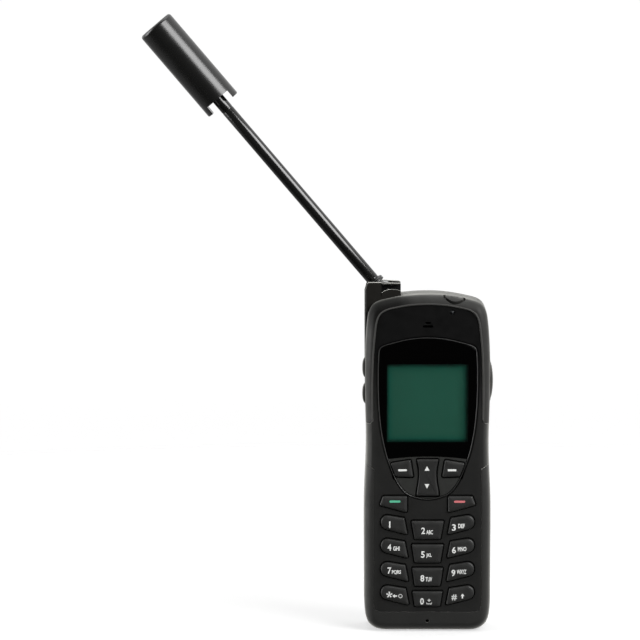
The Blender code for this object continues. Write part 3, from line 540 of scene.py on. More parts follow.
def display_finish():
    """Dark green liquid-crystal glass with faint rows of dots; painted shade darkens it towards its frame and deepens
    its green there.
    """
    m = finish_of("display glass", (0.0152, 0.0930, 0.0605), 0.32, vary=0.03, rough_vary=0.03, spec=0.3, big=18.0)
    nt = m.node_tree
    n, l = nt.nodes, nt.links
    tc = n.new("ShaderNodeTexCoord")
    sep = n.new("ShaderNodeSeparateXYZ")
    l.new(tc.outputs["Object"], sep.inputs["Vector"])

    def step(a, b, value, lo=0.0, hi=1.0):
        r = n.new("ShaderNodeMapRange")
        r.interpolation_type = "SMOOTHSTEP"
        r.inputs["From Min"].default_value, r.inputs["From Max"].default_value = a, b
        r.inputs["To Min"].default_value, r.inputs["To Max"].default_value = lo, hi
        l.new(value, r.inputs["Value"])
        return r.outputs["Result"]

    def math2(op, a, b):
        o = n.new("ShaderNodeMath")
        o.operation = op
        for i, v in enumerate((a, b)):
            if isinstance(v, (int, float)):
                o.inputs[i].default_value = v
            else:
                l.new(v, o.inputs[i])
        return o.outputs["Value"]

    x, z = sep.outputs["X"], sep.outputs["Z"]
    def border(wide):
        return math2("MULTIPLY", math2("MULTIPLY", step(SCREEN[0] * MM, (SCREEN[0] + wide) * MM, x), step((SCREEN[1] - wide) * MM, SCREEN[1] * MM, x, 1.0, 0.0)),
                     math2("MULTIPLY", step(SCREEN[2] * MM, (SCREEN[2] + wide) * MM, z), step((SCREEN[3] - wide * 1.25 + 0.1) * MM, (SCREEN[3] + 0.1) * MM, z, 1.0, 0.0)))

    # painted shade: edge and soft_edge darken the glass towards the frame, with the soft edge taking out more red
    edge, soft_edge = border(1.5), border(3.4)
    dots = math2("MULTIPLY", math2("SINE", math2("MULTIPLY", x, 2 * math.pi / 0.00145), 0.0), math2("SINE", math2("MULTIPLY", z, 2 * math.pi / 0.00145), 0.0))
    amount = math2("MULTIPLY", math2("ADD", math2("MULTIPLY", edge, 0.78), 0.22), math2("ADD", math2("MULTIPLY", dots, 0.025), 1.0))
    red = math2("MULTIPLY", amount, math2("ADD", math2("MULTIPLY", soft_edge, 0.85), 0.15))  # the border turns a deeper green
    mix = n.new("ShaderNodeMix")
    mix.data_type = "RGBA"
    mix.blend_type = "MULTIPLY"
    mix.inputs[0].default_value = 1.0
    base = next(k for k in l if k.to_socket == n["Principled BSDF"].inputs["Base Color"])
    l.new(base.from_socket, mix.inputs[6])
    grey = n.new("ShaderNodeCombineColor")
    for i in range(3):
        l.new(red if i == 0 else amount, grey.inputs[i])
    l.new(grey.outputs["Color"], mix.inputs[7])
    l.new(mix.outputs[2], n["Principled BSDF"].inputs["Base Color"])
    return m


DISPLAY_MAT = display_finish()

WINDOW_MAT = bpy.data.materials.new("clear window")
WINDOW_MAT.use_nodes = True
_b = WINDOW_MAT.node_tree.nodes["Principled BSDF"]
_b.inputs["Base Color"].default_value = (0.01, 0.012, 0.011, 1)
_b.inputs["Roughness"].default_value = 0.05
_b.inputs["Specular IOR Level"].default_value = 0.10
_b.inputs["Alpha"].default_value = 0.06

# ---------------------------------------------------------------- camera, light and floor
ELEV = math.radians(5.88)
DIST = 2.0
AIM = Vector((-0.04526, 0.0, 0.13037))
cam_data = bpy.data.cameras.new("camera")
cam_data.sensor_width = 36.0
cam_data.lens = 36.0 / (2 * 0.13506 / DIST)
cam = bpy.data.objects.new("camera", cam_data)
cam.location = AIM + Vector((0.0, -math.cos(ELEV), math.sin(ELEV))) * DIST
cam.rotation_mode = "QUATERNION"
cam.rotation_quaternion = (AIM - cam.location).to_track_quat("-Z", "Y")
cam_data.clip_start, cam_data.clip_end = 0.01, 50.0
bpy.context.scene.collection.objects.link(cam)
bpy.context.scene.camera = cam
bpy.context.scene.view_settings.view_transform = "Standard"


def softbox(name, place, aim, size, power, size_y=None, colour=(1, 1, 1)):
    d = bpy.data.lights.new(name, "AREA")
    d.shape = "RECTANGLE"
    d.size, d.size_y = size, size_y or size
    d.energy = power
    d.color = colour
    o = bpy.data.objects.new(name, d)
    o.location = place
    o.rotation_mode = "QUATERNION"
    o.rotation_quaternion = (Vector(aim) - Vector(place)).to_track_quat("-Z", "Y")
    bpy.context.scene.collection.objects.link(o)
    return o


KEY_DIR = Vector((0.660, -0.570, 0.490)).normalized()
CENTRE = Vector((-0.04, 0.0, 0.15))
softbox("key_right", CENTRE + KEY_DIR * 1.3, CENTRE, 0.85, 18.5)
softbox("side_left", (-1.1, -0.12, 0.24), (0.0, 0.0, 0.10), 0.6, 8.0, 1.0)
softbox("overhead", (0.0, 0.10, 1.15), (0.0, 0.0, 0.1), 0.8, 2.2)

# the studio is white behind and above, dark on the camera's side and dimmer below
world = bpy.data.worlds.new("studio")
bpy.context.scene.world = world
world.use_nodes = True
wn, wl = world.node_tree.nodes, world.node_tree.links
bg = wn["Background"]
tc = wn.new("ShaderNodeTexCoord")
sep = wn.new("ShaderNodeSeparateXYZ")
wl.new(tc.outputs["Generated"], sep.inputs["Vector"])


def world_ramp(axis, lo, hi, a, b):
    r = wn.new("ShaderNodeMapRange")
    r.interpolation_type = "SMOOTHSTEP"
    r.inputs["From Min"].default_value, r.inputs["From Max"].default_value = lo, hi
    r.inputs["To Min"].default_value, r.inputs["To Max"].default_value = a, b
    wl.new(sep.outputs[axis], r.inputs["Value"])
    return r


front_back = world_ramp("Y", -0.55, 0.25, 0.10, 0.95)
down_up = world_ramp("Z", -0.7, 0.05, 0.25, 1.0)
both = wn.new("ShaderNodeMath")
both.operation = "MULTIPLY"
wl.new(front_back.outputs["Result"], both.inputs[0])
wl.new(down_up.outputs["Result"], both.inputs[1])
path = wn.new("ShaderNodeLightPath")
pick = wn.new("ShaderNodeMix")
pick.data_type = "FLOAT"
wl.new(path.outputs["Is Camera Ray"], pick.inputs[0])
wl.new(both.outputs["Value"], pick.inputs[2])
pick.inputs[3].default_value = 1.01
wl.new(pick.outputs[0], bg.inputs["Strength"])
bg.inputs["Color"].default_value = (1, 1, 1, 1)

# pale floor that melts into the white surroundings away from the object
bm = bmesh.new()
bmesh.ops.create_circle(bm, cap_ends=True, segments=96, radius=1.1)
floor = to_object("floor", bm)
floor.location = (0, 0, -0.0002)
floor.visible_glossy = False
fm = bpy.data.materials.new("pale floor")
fm.use_nodes = True
fn, fl = fm.node_tree.nodes, fm.node_tree.links
fb = fn["Principled BSDF"]
fb.inputs["Base Color"].default_value = (0.97, 0.97, 0.97, 1)
fb.inputs["Roughness"].default_value = 0.9
fb.inputs["Specular IOR Level"].default_value = 0.1
ftc = fn.new("ShaderNodeTexCoord")
flen = fn.new("ShaderNodeVectorMath")
flen.operation = "LENGTH"
fl.new(ftc.outputs["Object"], flen.inputs[0])
fade = fn.new("ShaderNodeMapRange")
fade.interpolation_type = "SMOOTHSTEP"
fade.inputs["From Min"].default_value, fade.inputs["From Max"].default_value = 0.30, 0.95
fade.inputs["To Min"].default_value, fade.inputs["To Max"].default_value = 0.46, 0.0
fl.new(flen.outputs["Value"], fade.inputs["Value"])
fl.new(fade.outputs["Result"], fb.inputs["Alpha"])
floor.data.materials.append(fm)


# ---------------------------------------------------------------- outer forms
def front_form(name, d=0.0, outline=None, back=PARTING_Y - 0.1):
    """The front half's outer form, drawn in by d, with an elliptical shoulder."""
    depth, run = 5.6 - d, 3.6 - 0.4 * d
    prof = [(d, back), (d, -4.0), (d, -9.4)]
    for k in range(1, 9):
        t = math.radians(90.0 * k / 8)
        prof.append((d + run * (1 - math.cos(t)), -9.4 - depth * math.sin(t)))
    return stack(name, outline or BODY, prof)


def zone(name, z_in, z_out, up, inner=22.4, outer=28.5):
    far = 200.0 if up else -60.0
    pts = [(-inner, z_in), (inner, z_in), (outer, z_out), (60.0, z_out), (60.0, far), (-60.0, far), (-60.0, z_out), (-outer, z_out)]
    return prism(name, pts, -40.0, 40.0)


TURRET_LO = (-26.44, -6.05, 134.5)
TURRET_HI = (-11.25, 9.05, 146.7)


def turret_room():
    return slab("room", (-40.0, TURRET_LO[1] - 0.25, TURRET_LO[2] - 0.25), (TURRET_HI[0] + 0.25, TURRET_HI[1] + 0.25, 170.0))


def side_key(row, right):
    k = [(x + (0.22 * row if x > -15 else 0.0), z - KEY_PITCH * row, r) for x, z, r in LEFT_KEY][::-1]
    return [(-x, z, r) for x, z, r in reversed(k)] if right else k


def middle_key(row):
    top, low, z = 6.9 - 0.16 * row, 5.45 - 0.05 * row, 47.0 - KEY_PITCH * row
    base = max(z - 7.9, KEY_FLOOR)
    return [(-low, base, 0.6), (low, base, 0.6), (top, z, 0.5), (-top, z, 0.5)]


def flip(corners):
    return [(-x, z, r) for x, z, r in reversed(corners)]


CALL = [(-20.3, 53.6, 0.7), (-8.6, 50.4, 0.6), (-8.6, 57.5, 0.6), (-18.8, 57.5, 0.8)]
SOFT = [(-13.4, 65.8, 0.7), (-6.0, 65.5, 0.6), (-7.2, 72.9, 0.6), (-15.7, 71.5, 0.7)]
NAV_SIDE = [(4.75, 57.6), (4.5, 60.0), (3.9, 63.4), (3.68, 66.6), (3.85, 69.4), (4.3, 71.6), (4.5, 73.2)]


def nav_outline():
    """Waisted rocker: densely sampled concave sides and small rounded corners."""
    side = []
    pts = [Vector(p) for p in NAV_SIDE]
    for i in range(len(pts) - 1):
        p0 = pts[max(0, i - 1)]; p1 = pts[i]; p2 = pts[i + 1]; p3 = pts[min(len(pts) - 1, i + 2)]
        for k in range(3):
            t = k / 3
            side.append(0.5 * ((2 * p1) + (p2 - p0) * t + (2 * p0 - 5 * p1 + 4 * p2 - p3) * t * t + (3 * p1 - p0 - 3 * p2 + p3) * t ** 3))
    side.append(pts[-1])
    right = [(v.x, v.y) for v in side]
    r = 0.55
    lo = [(right[0][0] - r + r * math.cos(a), right[0][1] + r + r * math.sin(a)) for a in [math.radians(-90 + 22.5 * k) for k in range(4)]]
    hi = [(right[-1][0] - r + r * math.cos(a), right[-1][1] - r + r * math.sin(a)) for a in [math.radians(22.5 * k) for k in range(1, 5)]]
    mid = [p for p in right if right[0][1] + r < p[1] < right[-1][1] - r]
    half = lo + mid + hi
    return half + [(-x, z) for x, z in reversed(half)]


NAV = nav_outline()
CORNER_KEYS = {"soft_key_left": SOFT, "soft_key_right": flip(SOFT), "call_key": CALL, "end_key": flip(CALL)}
for _row, (_l, _m, _r) in enumerate([("1", "2", "3"), ("4", "5", "6"), ("7", "8", "9"), ("star", "0", "hash")]):
    CORNER_KEYS[f"key_{_l}"] = side_key(_row, False)
    CORNER_KEYS[f"key_{_m}"] = middle_key(_row)
    CORNER_KEYS[f"key_{_r}"] = side_key(_row, True)
ISLAND_KEYS = ("soft_key_left", "soft_key_right")

# ---------------------------------------------------------------- keys
KEY_TOP = -16.0
for name, corners in CORNER_KEYS.items():
    prof = [(-0.42, -12.1), (-0.42, -12.7), (0.0, -12.75), (0.0, -15.1)]
    for k in range(1, 7):  # cushioned edge
        t = math.radians(84.0 * k / 6)
        prof.append((0.85 * (1 - math.cos(t)), -15.1 - 0.78 * math.sin(t)))
    prof += [(1.05, KEY_TOP + 0.07), (1.35, KEY_TOP + 0.02), (1.6, KEY_TOP)]
    key = stack(name + "_cap", lambda d, c=corners: corner_ring(c, d, 5), prof)
    done(key, BODY_OF[name], KEY_MAT, name, angle=50)

prof = [(-0.4, -12.4), (-0.4, -12.8), (0.05, -12.9), (0.05, -15.2)]
for k in range(1, 7):
    t = math.radians(84.0 * k / 6)
    prof.append((0.05 + 0.6 * (1 - math.cos(t)), -15.2 - 0.64 * math.sin(t)))
rings = [[(x, y, z) for x, z in offset(NAV, -d)] for d, y in prof]
for f, y in ((0.95, -15.88), (0.88, -15.9), (0.78, -15.9)):  # flat middle, so that the shading stays even
    rings.append([(x * f, y, 65.4 + (z - 65.4) * (1 - (1 - f) * 0.5)) for x, _, z in rings[len(prof) - 1]])
bm = bmesh.new()
rings_into(bm, rings)
done(to_object("navigation_rocker_cap", bm), BODY_OF["navigation_rocker"], KEY_MAT, "navigation_rocker", angle=50)

# ---------------------------------------------------------------- front housing
panel_prism = prism("panel_prism", PANEL, -40.0, 40.0)
panel_in = prism("panel_in", offset(PANEL, -GAP), -40.0, 40.0)
panel_close = prism("panel_close", offset(PANEL, -0.06), -40.0, 40.0)
recess_core = front_form("recess_core", SKIN + GAP, back=6.0)  # open at the back, so no tool holds a closed void
skin_core = front_form("skin_core", SKIN, back=6.0)
for o in (panel_prism, panel_in, panel_close, recess_core, skin_core):
    o["keep"] = 1
    HELPERS.append(o)


def recess(stop, inner):
    r = stack("recess", BODY, [(-0.6, 3.0), (-0.6, FRONT_Y - 1.0)])
    return carve(r, recess_core, inner, stop)


def tilted_trim():
    """Everything in front of the keypad face, which sits deeper below the rubber at the top than at the bottom."""
    bm = bmesh.new()
    y0, y1 = -14.96, -14.70  # at z 0 and z 140
    sec = [(-25.0, -20.0), (-25.0, 170.0), (y1 + (y1 - y0) * 30 / 140, 170.0), (y0 - (y1 - y0) * 20 / 140, -20.0)]
    rings_into(bm, [[(x, y, z) for y, z in sec] for x in (-40.0, 40.0)])
    return to_object("face_trim", bm)


def key_holes(names, extra):
    bm = bmesh.new()
    for n in names:
        rings_into(bm, [[(x, y, z + 0.13) for x, z in corner_ring(CORNER_KEYS[n], -0.50, 5)] for y in (-18.0, -11.0)])
    for ring in extra:
        rings_into(bm, [[(x, y, z) for x, z in ring] for y in (-18.0, -11.0)])
    return to_object("holes", bm)


front = front_form("front_shell")
cavity = stack("cavity", BODY, [(SKIN + GAP + WALL, 2.0), (SKIN + GAP + WALL, -10.9), (SKIN + GAP + WALL + 1.4, -11.8)])
panel_cavity = prism("panel_cavity", offset(PANEL, -1.5), -5.0, -13.0)
pocket = stack("pocket", SHIELD, [(-0.34, -13.9), (-0.34, -14.5), (-0.38, -14.66), (-0.50, -14.82), (-0.64, -14.99), (-0.64, -20.0)])
island_hole = corner_ring([(-14.6, 64.2, 1.0), (-5.6, 64.2, 0.4), (-5.6, 56.9, 0.5), (5.6, 56.9, 0.5), (5.6, 64.2, 0.4), (14.6, 64.2, 1.0),
                           (16.6, 72.2, 1.0), (7.6, 73.8, 0.5), (-7.6, 73.8, 0.5), (-16.6, 72.2, 1.0)], 0.0, 3)
slot_a = corner_ring([(-1.2, 130.2, 0.4), (1.2, 130.2, 0.4), (1.2, 131.05, 0.4), (-1.2, 131.05, 0.4)], 0.0, 4)
slot_b = corner_ring([(-2.2, 128.65, 0.45), (2.2, 128.65, 0.45), (2.2, 129.65, 0.45), (-2.2, 129.65, 0.45)], 0.0, 4)
window = [(-18.3, 79.8), (18.1, 79.8), (18.1, 115.0), (-18.3, 115.0)]
light_hole = [(10.3 + 1.12 * math.cos(2 * math.pi * k / 32), 135.2 + 1.12 * math.sin(2 * math.pi * k / 32)) for k in range(32)]
holes = key_holes([n for n in CORNER_KEYS if n not in ISLAND_KEYS], [island_hole, slot_a, slot_b, window, light_hole])


def side_tools():
    bm = bmesh.new()
    ring = corner_ring([(-2.35, -4.75, 2.2), (2.35, -4.75, 2.2), (2.35, 4.75, 2.2), (-2.35, 4.75, 2.2)], -0.14, 6)
    for z in VOL_Z:
        rings_into(bm, [[(x, VOL_Y + a, z + b) for a, b in ring] for x in (-32.0, -20.0)])
    o = to_object("volume_holes", bm)
    a = rod("jack_hole", (24.5, VOL_Y, JACK_Z), (1, 0, 0), 2.3, 8.0)
    b = rod("power_hole", POWER - POWER_AXIS * 0.5, POWER_AXIS, POWER_R + 0.80, 10.0, 64)
    c = rod("mic_hole", (0.0, -14.0, 4.35), (0, 1, 0), 0.75, 6.0, 24)
    return [o, a, b, c]


carve(front, recess(zone("s1", 91.0 - GAP, 88.2 - GAP, False, 21.6, 24.2), panel_in), recess(zone("s2", 68.6 + GAP, 72.4 + GAP, True), panel_close), cavity, panel_cavity, pocket,
      tilted_trim())
for _name, (sx, sz) in SCREWS.items():
    carve(front, ("UNION", rod("boss", (sx, -7.2, sz), (0, 1, 0), 2.1, 12.0, 32)))
carve(front, holes, *side_tools(), *[rod("pilot", (sx, -4.0, sz), (0, 1, 0), 1.15, 14.0, 24) for sx, sz in SCREWS.values()], turret_room())
soften(front, 0.12, 2)
done(front, "handset", PANEL_MAT, "front_housing")

# ---------------------------------------------------------------- rubber bumpers
for name, stop, mat in (("upper_bumper", zone("s3", 91.0, 88.2, False, 21.6, 24.2), RUBBER_MAT), ("lower_bumper", zone("s4", 68.6, 72.4, True), GRIP_MAT)):
    skin = front_form(name + "_skin")
    carve(skin, skin_core, panel_prism, stop, *side_tools())
    if name == "upper_bumper":
        carve(skin, turret_room())
    soften(skin, 0.26 if name == "upper_bumper" else 0.12, 3, 38)
    done(skin, "handset", mat, name)

# seal in the parting line, so that no light passes between the halves
seal = hoop("parting_seal", BODY, [(0.80, -1.5), (0.80, -0.25), (1.55, -0.25), (1.55, -1.5)])
carve(seal, turret_room())
done(seal, "handset", SILICONE_MAT, slot="grip_rubber")

# raised lip of the upper bumper along the panel, in a lighter copy of the bumper rubber: a painted highlight along the
# lip
lip = hoop("bumper_lip", PANEL, [(-0.82, -13.6), (-0.82, -14.86), (-0.76, -15.02), (-0.64, -15.15), (-0.48, -15.22), (-0.32, -15.22), (-0.18, -15.15), (-0.08, -15.03), (-0.04, -14.88), (-0.04, -13.6)])
carve(lip, zone("s5", 91.1, 88.3, False, 21.6, 24.2))
done(lip, "handset", LIP_HIGHLIGHT_MAT, slot="bumper_rubber")

# ---------------------------------------------------------------- display field
INSET = 0.62
band = [(-30.0, LENS_Z_END - 0.4), (-16.0, LENS_Z_END + 0.1), (-8.0, LENS_Z - 0.15), (0.0, LENS_Z), (8.0, LENS_Z - 0.15), (16.0, LENS_Z_END + 0.1), (30.0, LENS_Z_END - 0.4)]
arc_line = [(x, LENS_Z - (LENS_Z - LENS_Z_END + 0.1) * (x / 16.0) ** 2) for x in [-24 + 2 * k for k in range(25)]]
lens = stack("lens_plate", offset(SHIELD, -INSET), [(0.0, -14.15), (0.0, -14.70), (0.06, -14.84), (0.20, -14.93)])
carve(lens, prism("below", [(-30.0, 20.0), (30.0, 20.0)] + [(x, z + 0.1) for x, z in reversed(arc_line)], -40, 40),
      prism("opening", corner_ring([(SCREEN[0], SCREEN[2], 0.4), (SCREEN[1], SCREEN[2], 0.4), (SCREEN[1], SCREEN[3], 0.4), (SCREEN[0], SCREEN[3], 0.4)], 0, 3), -40, 40))
soften(lens, 0.06, 2)
done(lens, "handset", LENS_MAT, "display_lens")
pane = stack("window_pane", lambda d: corner_ring([(SCREEN[0] + 0.03, SCREEN[2] + 0.03, 0.4), (SCREEN[1] - 0.03, SCREEN[2] + 0.03, 0.4),
                                                   (SCREEN[1] - 0.03, SCREEN[3] - 0.03, 0.4), (SCREEN[0] + 0.03, SCREEN[3] - 0.03, 0.4)], d, 3),
             [(0.0, -14.5), (0.0, -14.88), (0.04, -14.92)])
done(pane, "handset", WINDOW_MAT, slot="lens")

island = stack("navigation_plate", offset(SHIELD, -INSET - 0.08), [(0.0, -14.15), (0.0, -14.90), (0.06, -15.06), (0.2, -15.16), (0.36, -15.2)])
tools = [prism("above", [(-30.0, 160.0)] + [(x, z - 0.12) for x, z in arc_line] + [(30.0, 160.0)], -40, 40)]
bm = bmesh.new()
for n in ISLAND_KEYS:
    rings_into(bm, [[(x, y, z) for x, z in corner_ring(CORNER_KEYS[n], -0.56, 5)] for y in (-18.0, -11.0)])
rings_into(bm, [[(x, y, z) for x, z in offset(NAV, 0.56)] for y in (-18.0, -11.0)])
carve(island, *tools, to_object("island_holes", bm))
soften(island, 0.12, 2)
done(island, "handset", BEZEL_MAT, "navigation_bezel")

# thin bright rim round the lens and the plate, with a dark gap outside it
rim = hoop("shield_rim", SHIELD, [(0.14, -14.15), (0.14, -14.88), (0.17, -14.97), (0.23, -15.02), (0.30, -15.03), (0.39, -14.98), (0.48, -14.88), (0.55, -14.74), (0.55, -14.15)])
done(rim, "handset", RIM_MAT, slot="bezel_plastic")

# display module: glass in a thin metal frame
glass = slab("display_glass", (-18.0, -12.72, 79.4), (17.8, -11.6, 115.2), 0.08)
done(glass, "handset", DISPLAY_MAT, "lcd_module")
tray = slab("display_tray", (-19.4, -12.5, 77.6), (19.2, -10.0, 117.2), 0.25)
carve(tray, slab("tray_hole", (-18.1, -13.5, 79.3), (17.9, -11.5, 115.3)))
done(tray, "handset", STEEL_MAT, slot="sheet_metal")

# ---------------------------------------------------------------- printed legends
def px(x, y):
    """Keypad place of a mark, from the drawing's grid of 2.36 units to a millimetre."""
    return (x - 427.7) / 2.36, (630.5 - y) / 2.36 * 1.004


def legend(name, text, x, z, height, body, mat=WHITE_INK, squeeze=0.72, weight=0.038, y=KEY_TOP, width=None):
    cu = bpy.data.curves.new(name, "FONT")
    cu.body = text
    cu.size = 1.0
    cu.align_x, cu.align_y = "CENTER", "CENTER"
    cu.extrude = 0.04
    cu.offset = weight
    cu.resolution_u = 4
    tmp = bpy.data.objects.new(name, cu)
    bpy.context.scene.collection.objects.link(tmp)
    bpy.context.view_layer.update()
    mesh = bpy.data.meshes.new_from_object(tmp.evaluated_get(bpy.context.evaluated_depsgraph_get()))
    bpy.data.objects.remove(tmp, do_unlink=True)
    lo = [min(v.co[i] for v in mesh.vertices) for i in range(3)]
    hi = [max(v.co[i] for v in mesh.vertices) for i in range(3)]
    s = height / (hi[1] - lo[1])
    if width:
        squeeze = width / ((hi[0] - lo[0]) * s)
    cx, cy = (lo[0] + hi[0]) / 2, (lo[1] + hi[1]) / 2
    for v in mesh.vertices:
        u, w, t = (v.co.x - cx) * s * squeeze, (v.co.y - cy) * s, v.co.z
        v.co = (x + u, y - 0.012 if t > 0 else y + 0.05, z + w)
    obj = bpy.data.objects.new(name, mesh)
    bpy.context.scene.collection.objects.link(obj)
    bm = bmesh.new()
    bm.from_mesh(mesh)
    bmesh.ops.remove_doubles(bm, verts=bm.verts, dist=1e-4)
    bmesh.ops.recalc_face_normals(bm, faces=bm.faces)
    bm.to_mesh(mesh)
    bm.free()
    return done(obj, body, mat, slot="key_plastic", angle=30, weight=False)


def mark(name, rings, body, mat=WHITE_INK, y=KEY_TOP, slot="key_plastic"):
    """Flat printed shape from convex or plain outlines."""
    bm = bmesh.new()
    for ring in rings:
        rings_into(bm, [[(x, yy, z) for x, z in ring] for yy in (y - 0.012, y + 0.05)])
    return done(to_object(name, bm), body, mat, slot=slot, angle=30, weight=False)


def bar(x, z, w, h, r=0.3):
    r = min(r, h / 2 - 0.01)
    return corner_ring([(x - w / 2, z - h / 2, r), (x + w / 2, z - h / 2, r), (x + w / 2, z + h / 2, r), (x - w / 2, z + h / 2, r)], 0, 4, 0.05)


LEGENDS = {
    "1": ((390.1, 523.5), "", None, 0), "2": ((423.3, 529.7), "ABC", (429.7, 531.1), 2.8), "3": ((453.8, 526.4), "DEF", (461.3, 524.9), 2.75),
    "4": ((389.8, 546.2), "GHI", (396.8, 547.4), 2.75), "5": ((423.0, 553.4), "JKL", (429.1, 554.5), 2.3), "6": ((453.9, 549.0), "MNO", (462.0, 547.9), 3.6),
    "7": ((389.8, 569.5), "PQRS", (396.8, 571.2), 3.85), "8": ((422.6, 577.2), "TUV", (429.0, 578.2), 2.8), "9": ((453.4, 571.9), "WXYZ", (461.5, 570.7), 4.0),
}
for d, (at, letters, at2, wide) in LEGENDS.items():
    body = BODY_OF["key_" + d]
    x, z = px(*at)
    legend(f"digit_{d}", d, x, z, 2.75, body, width=0.55 if d == "1" else 1.6, weight=0.022)
    if letters:
        x2, z2 = px(*at2)
        legend(f"letters_{d}", letters, x2, z2, 1.85, body, width=wide, weight=0.03)
x, z = px(389.8, 593.6)
bm_rings = []
for k in range(5):  # five-armed star
    a = math.radians(72 * k + 90)
    u, v = Vector((math.cos(a), math.sin(a))), Vector((-math.sin(a), math.cos(a)))
    c = Vector((x, z))
    bm_rings.append([tuple(c + u * 1.28 + v * 0.30), tuple(c + v * 0.15), tuple(c - v * 0.15), tuple(c + u * 1.28 - v * 0.30)])
mark("star_sign", bm_rings, BODY_OF["key_star"])
x, z = px(395.4, 594.9)
mark("star_arrow", [[(x - 1.05, z), (x - 0.1, z - 0.8), (x - 0.1, z - 0.28), (x + 0.9, z - 0.28), (x + 0.9, z + 0.28), (x - 0.1, z + 0.28), (x - 0.1, z + 0.8)]], BODY_OF["key_star"])
x, z = px(400.8, 595.0)
bm = bmesh.new()
n_ = 28
o_ = [[bm.verts.new((x + r * math.cos(2 * math.pi * k / n_), y, z + r * math.sin(2 * math.pi * k / n_))) for k in range(n_)]
      for r, y in ((0.85, KEY_TOP + 0.05), (0.85, KEY_TOP - 0.012), (0.62, KEY_TOP - 0.012), (0.62, KEY_TOP + 0.05))]
for a, b in zip(o_, o_[1:] + o_[:1]):
    for i in range(n_):
        bm.faces.new((a[i], a[(i + 1) % n_], b[(i + 1) % n_], b[i]))
done(to_object("star_ring", bm), BODY_OF["key_star"], WHITE_INK, slot="key_plastic", angle=30, weight=False)
x, z = px(422.3, 600.2)
legend("digit_0", "0", x, z, 2.7, BODY_OF["key_0"], width=1.55, weight=0.022)
x, z = px(429.3, 599.2)
mark("zero_plus", [bar(x, z, 1.25, 0.34, 0.05), bar(x, z, 0.34, 1.25, 0.05)], BODY_OF["key_0"])
x, z = px(429.3, 602.8)
mark("zero_space", [bar(x, z, 2.2, 0.26, 0.05), bar(x - 1.0, z + 0.25, 0.26, 0.6, 0.05), bar(x + 1.0, z + 0.25, 0.26, 0.6, 0.05)], BODY_OF["key_0"])
x, z = px(454.3, 596.3)
hash_rings = []
for s in (-0.45, 0.45):
    hash_rings.append([(x + s - 0.46, z - 1.25), (x + s - 0.08, z - 1.25), (x + s + 0.46, z + 1.25), (x + s + 0.08, z + 1.25)])
    hash_rings.append([(x - 1.15, z + s * 0.95 - 0.19), (x + 1.15, z + s * 0.95 - 0.19), (x + 1.15, z + s * 0.95 + 0.19), (x - 1.15, z + s * 0.95 + 0.19)])
mark("hash_sign", hash_rings, BODY_OF["key_hash"])
x, z = px(462.5, 594.9)
mark("hash_arrow", [[(x - 0.28, z - 1.0), (x + 0.28, z - 1.0), (x + 0.28, z), (x + 0.8, z), (x, z + 1.0), (x - 0.8, z), (x - 0.28, z)]], BODY_OF["key_hash"])

for name, cx in (("soft_key_left", 402.7), ("soft_key_right", 451.8)):
    x, z = px(cx, 469.6)
    mark(name + "_bar", [bar(x, z + 0.12, 3.6, 0.85, 0.2)], BODY_OF[name])
x, z = px(395.2, 500.5)
mark("call_bar", [bar(x, z, 4.6, 0.9, 0.4)], BODY_OF["call_key"], GREEN_INK)
x, z = px(459.4, 500.7)
mark("end_bar", [bar(x, z, 4.6, 0.9, 0.4)], BODY_OF["end_key"], RED_INK)
x, z = px(427.0, 467.6)
mark("up_arrow", [[(x - 1.05, z - 0.95), (x + 1.05, z - 0.95), (x, z + 1.0)]], BODY_OF["navigation_rocker"], y=-15.9)
x, z = px(427.0, 485.3)
mark("down_arrow", [[(x - 1.0, z + 0.95), (x, z - 1.0), (x + 1.0, z + 0.95)]], BODY_OF["navigation_rocker"], y=-15.9)

# ---------------------------------------------------------------- rear housing
back = stack("rear_shell", BODY_REAR, [(0.55, PARTING_Y + 0.1), (0.42, PARTING_Y + 0.12), (0.16, PARTING_Y + 0.35), (0.0, PARTING_Y + 0.75), (0.0, 8.2)] + [(3.0 * (1 - math.cos(math.radians(a))), 8.2 + (REAR_Y - 8.2) * math.sin(math.radians(a)))
                                                                             for a in (12, 24, 36, 48, 60, 72, 81, 90)])
low_cavity = stack("low_cavity", BODY_REAR, [(1.7, -3.0), (1.7, 5.4)])
up_cavity = stack("up_cavity", BODY_REAR, [(1.9, 5.0), (1.9, 8.2), (3.2, 10.6), (5.0, 11.7)])
carve(up_cavity, slab("cut", (-60, -20, -60), (60, 40, 92.6)))
bay = slab("bay", (-22.6, 6.8, 6.5), (22.6, 30.0, 91.0), 1.2, 3)
carve(back, low_cavity, up_cavity, bay, turret_room())
for _name, (sx, sz) in SCREWS.items():
    top = 12.2 if sz > 92 else 6.5
    carve(back, ("UNION", rod("column", (sx, (top - 0.8) / 2, sz), (0, 1, 0), 2.9, top + 0.8, 32)))
usb_hole = slab("usb_hole", (USB[0] - 0.25, USB[2] - 0.25, -2.0), (USB[1] + 0.25, USB[3] + 0.15, 3.0))
cover_pocket = slab("cover_pocket", (2.3, 0.4, -2.0), (14.2, 6.4, 1.25))
flap_pocket = slab("flap_pocket", (FLAP[0] - FLAP[2] - 0.25, 12.35, FLAP[1] - FLAP[3] - 0.25), (FLAP[0] + FLAP[2] + 0.25, 16.0, FLAP[1] + FLAP[3] + 0.25))
latch_slot = slab("latch_slot", (-9.3, 9.0, 93.6), (-3.7, 16.0, 99.4))
contact_slot = slab("contact_slot", (-6.4, 4.0, 13.6), (6.4, 8.0, 19.4))
card_slot = slab("card_slot", (2.0, 5.95, 48.0), (17.6, 8.0, 73.6))
bm = bmesh.new()
for i in range(5):
    rings_into(bm, [[(x, y, z) for x, z in bar(3.0, 116.1 + 2.4 * i, 14.0 - 0.9 * abs(i - 2), 1.15, 0.55)] for y in (10.0, 16.0)])
grille = to_object("grille", bm)
bm = bmesh.new()
for i in range(7):  # thumb grooves beside the grille and above the pack
    rings_into(bm, [[(x, y, z) for x, z in bar(-6.5, 101.6 + 1.5 * i, 11.0, 0.6, 0.28)] for y in (12.75, 16.0)])
grooves = to_object("grooves", bm)
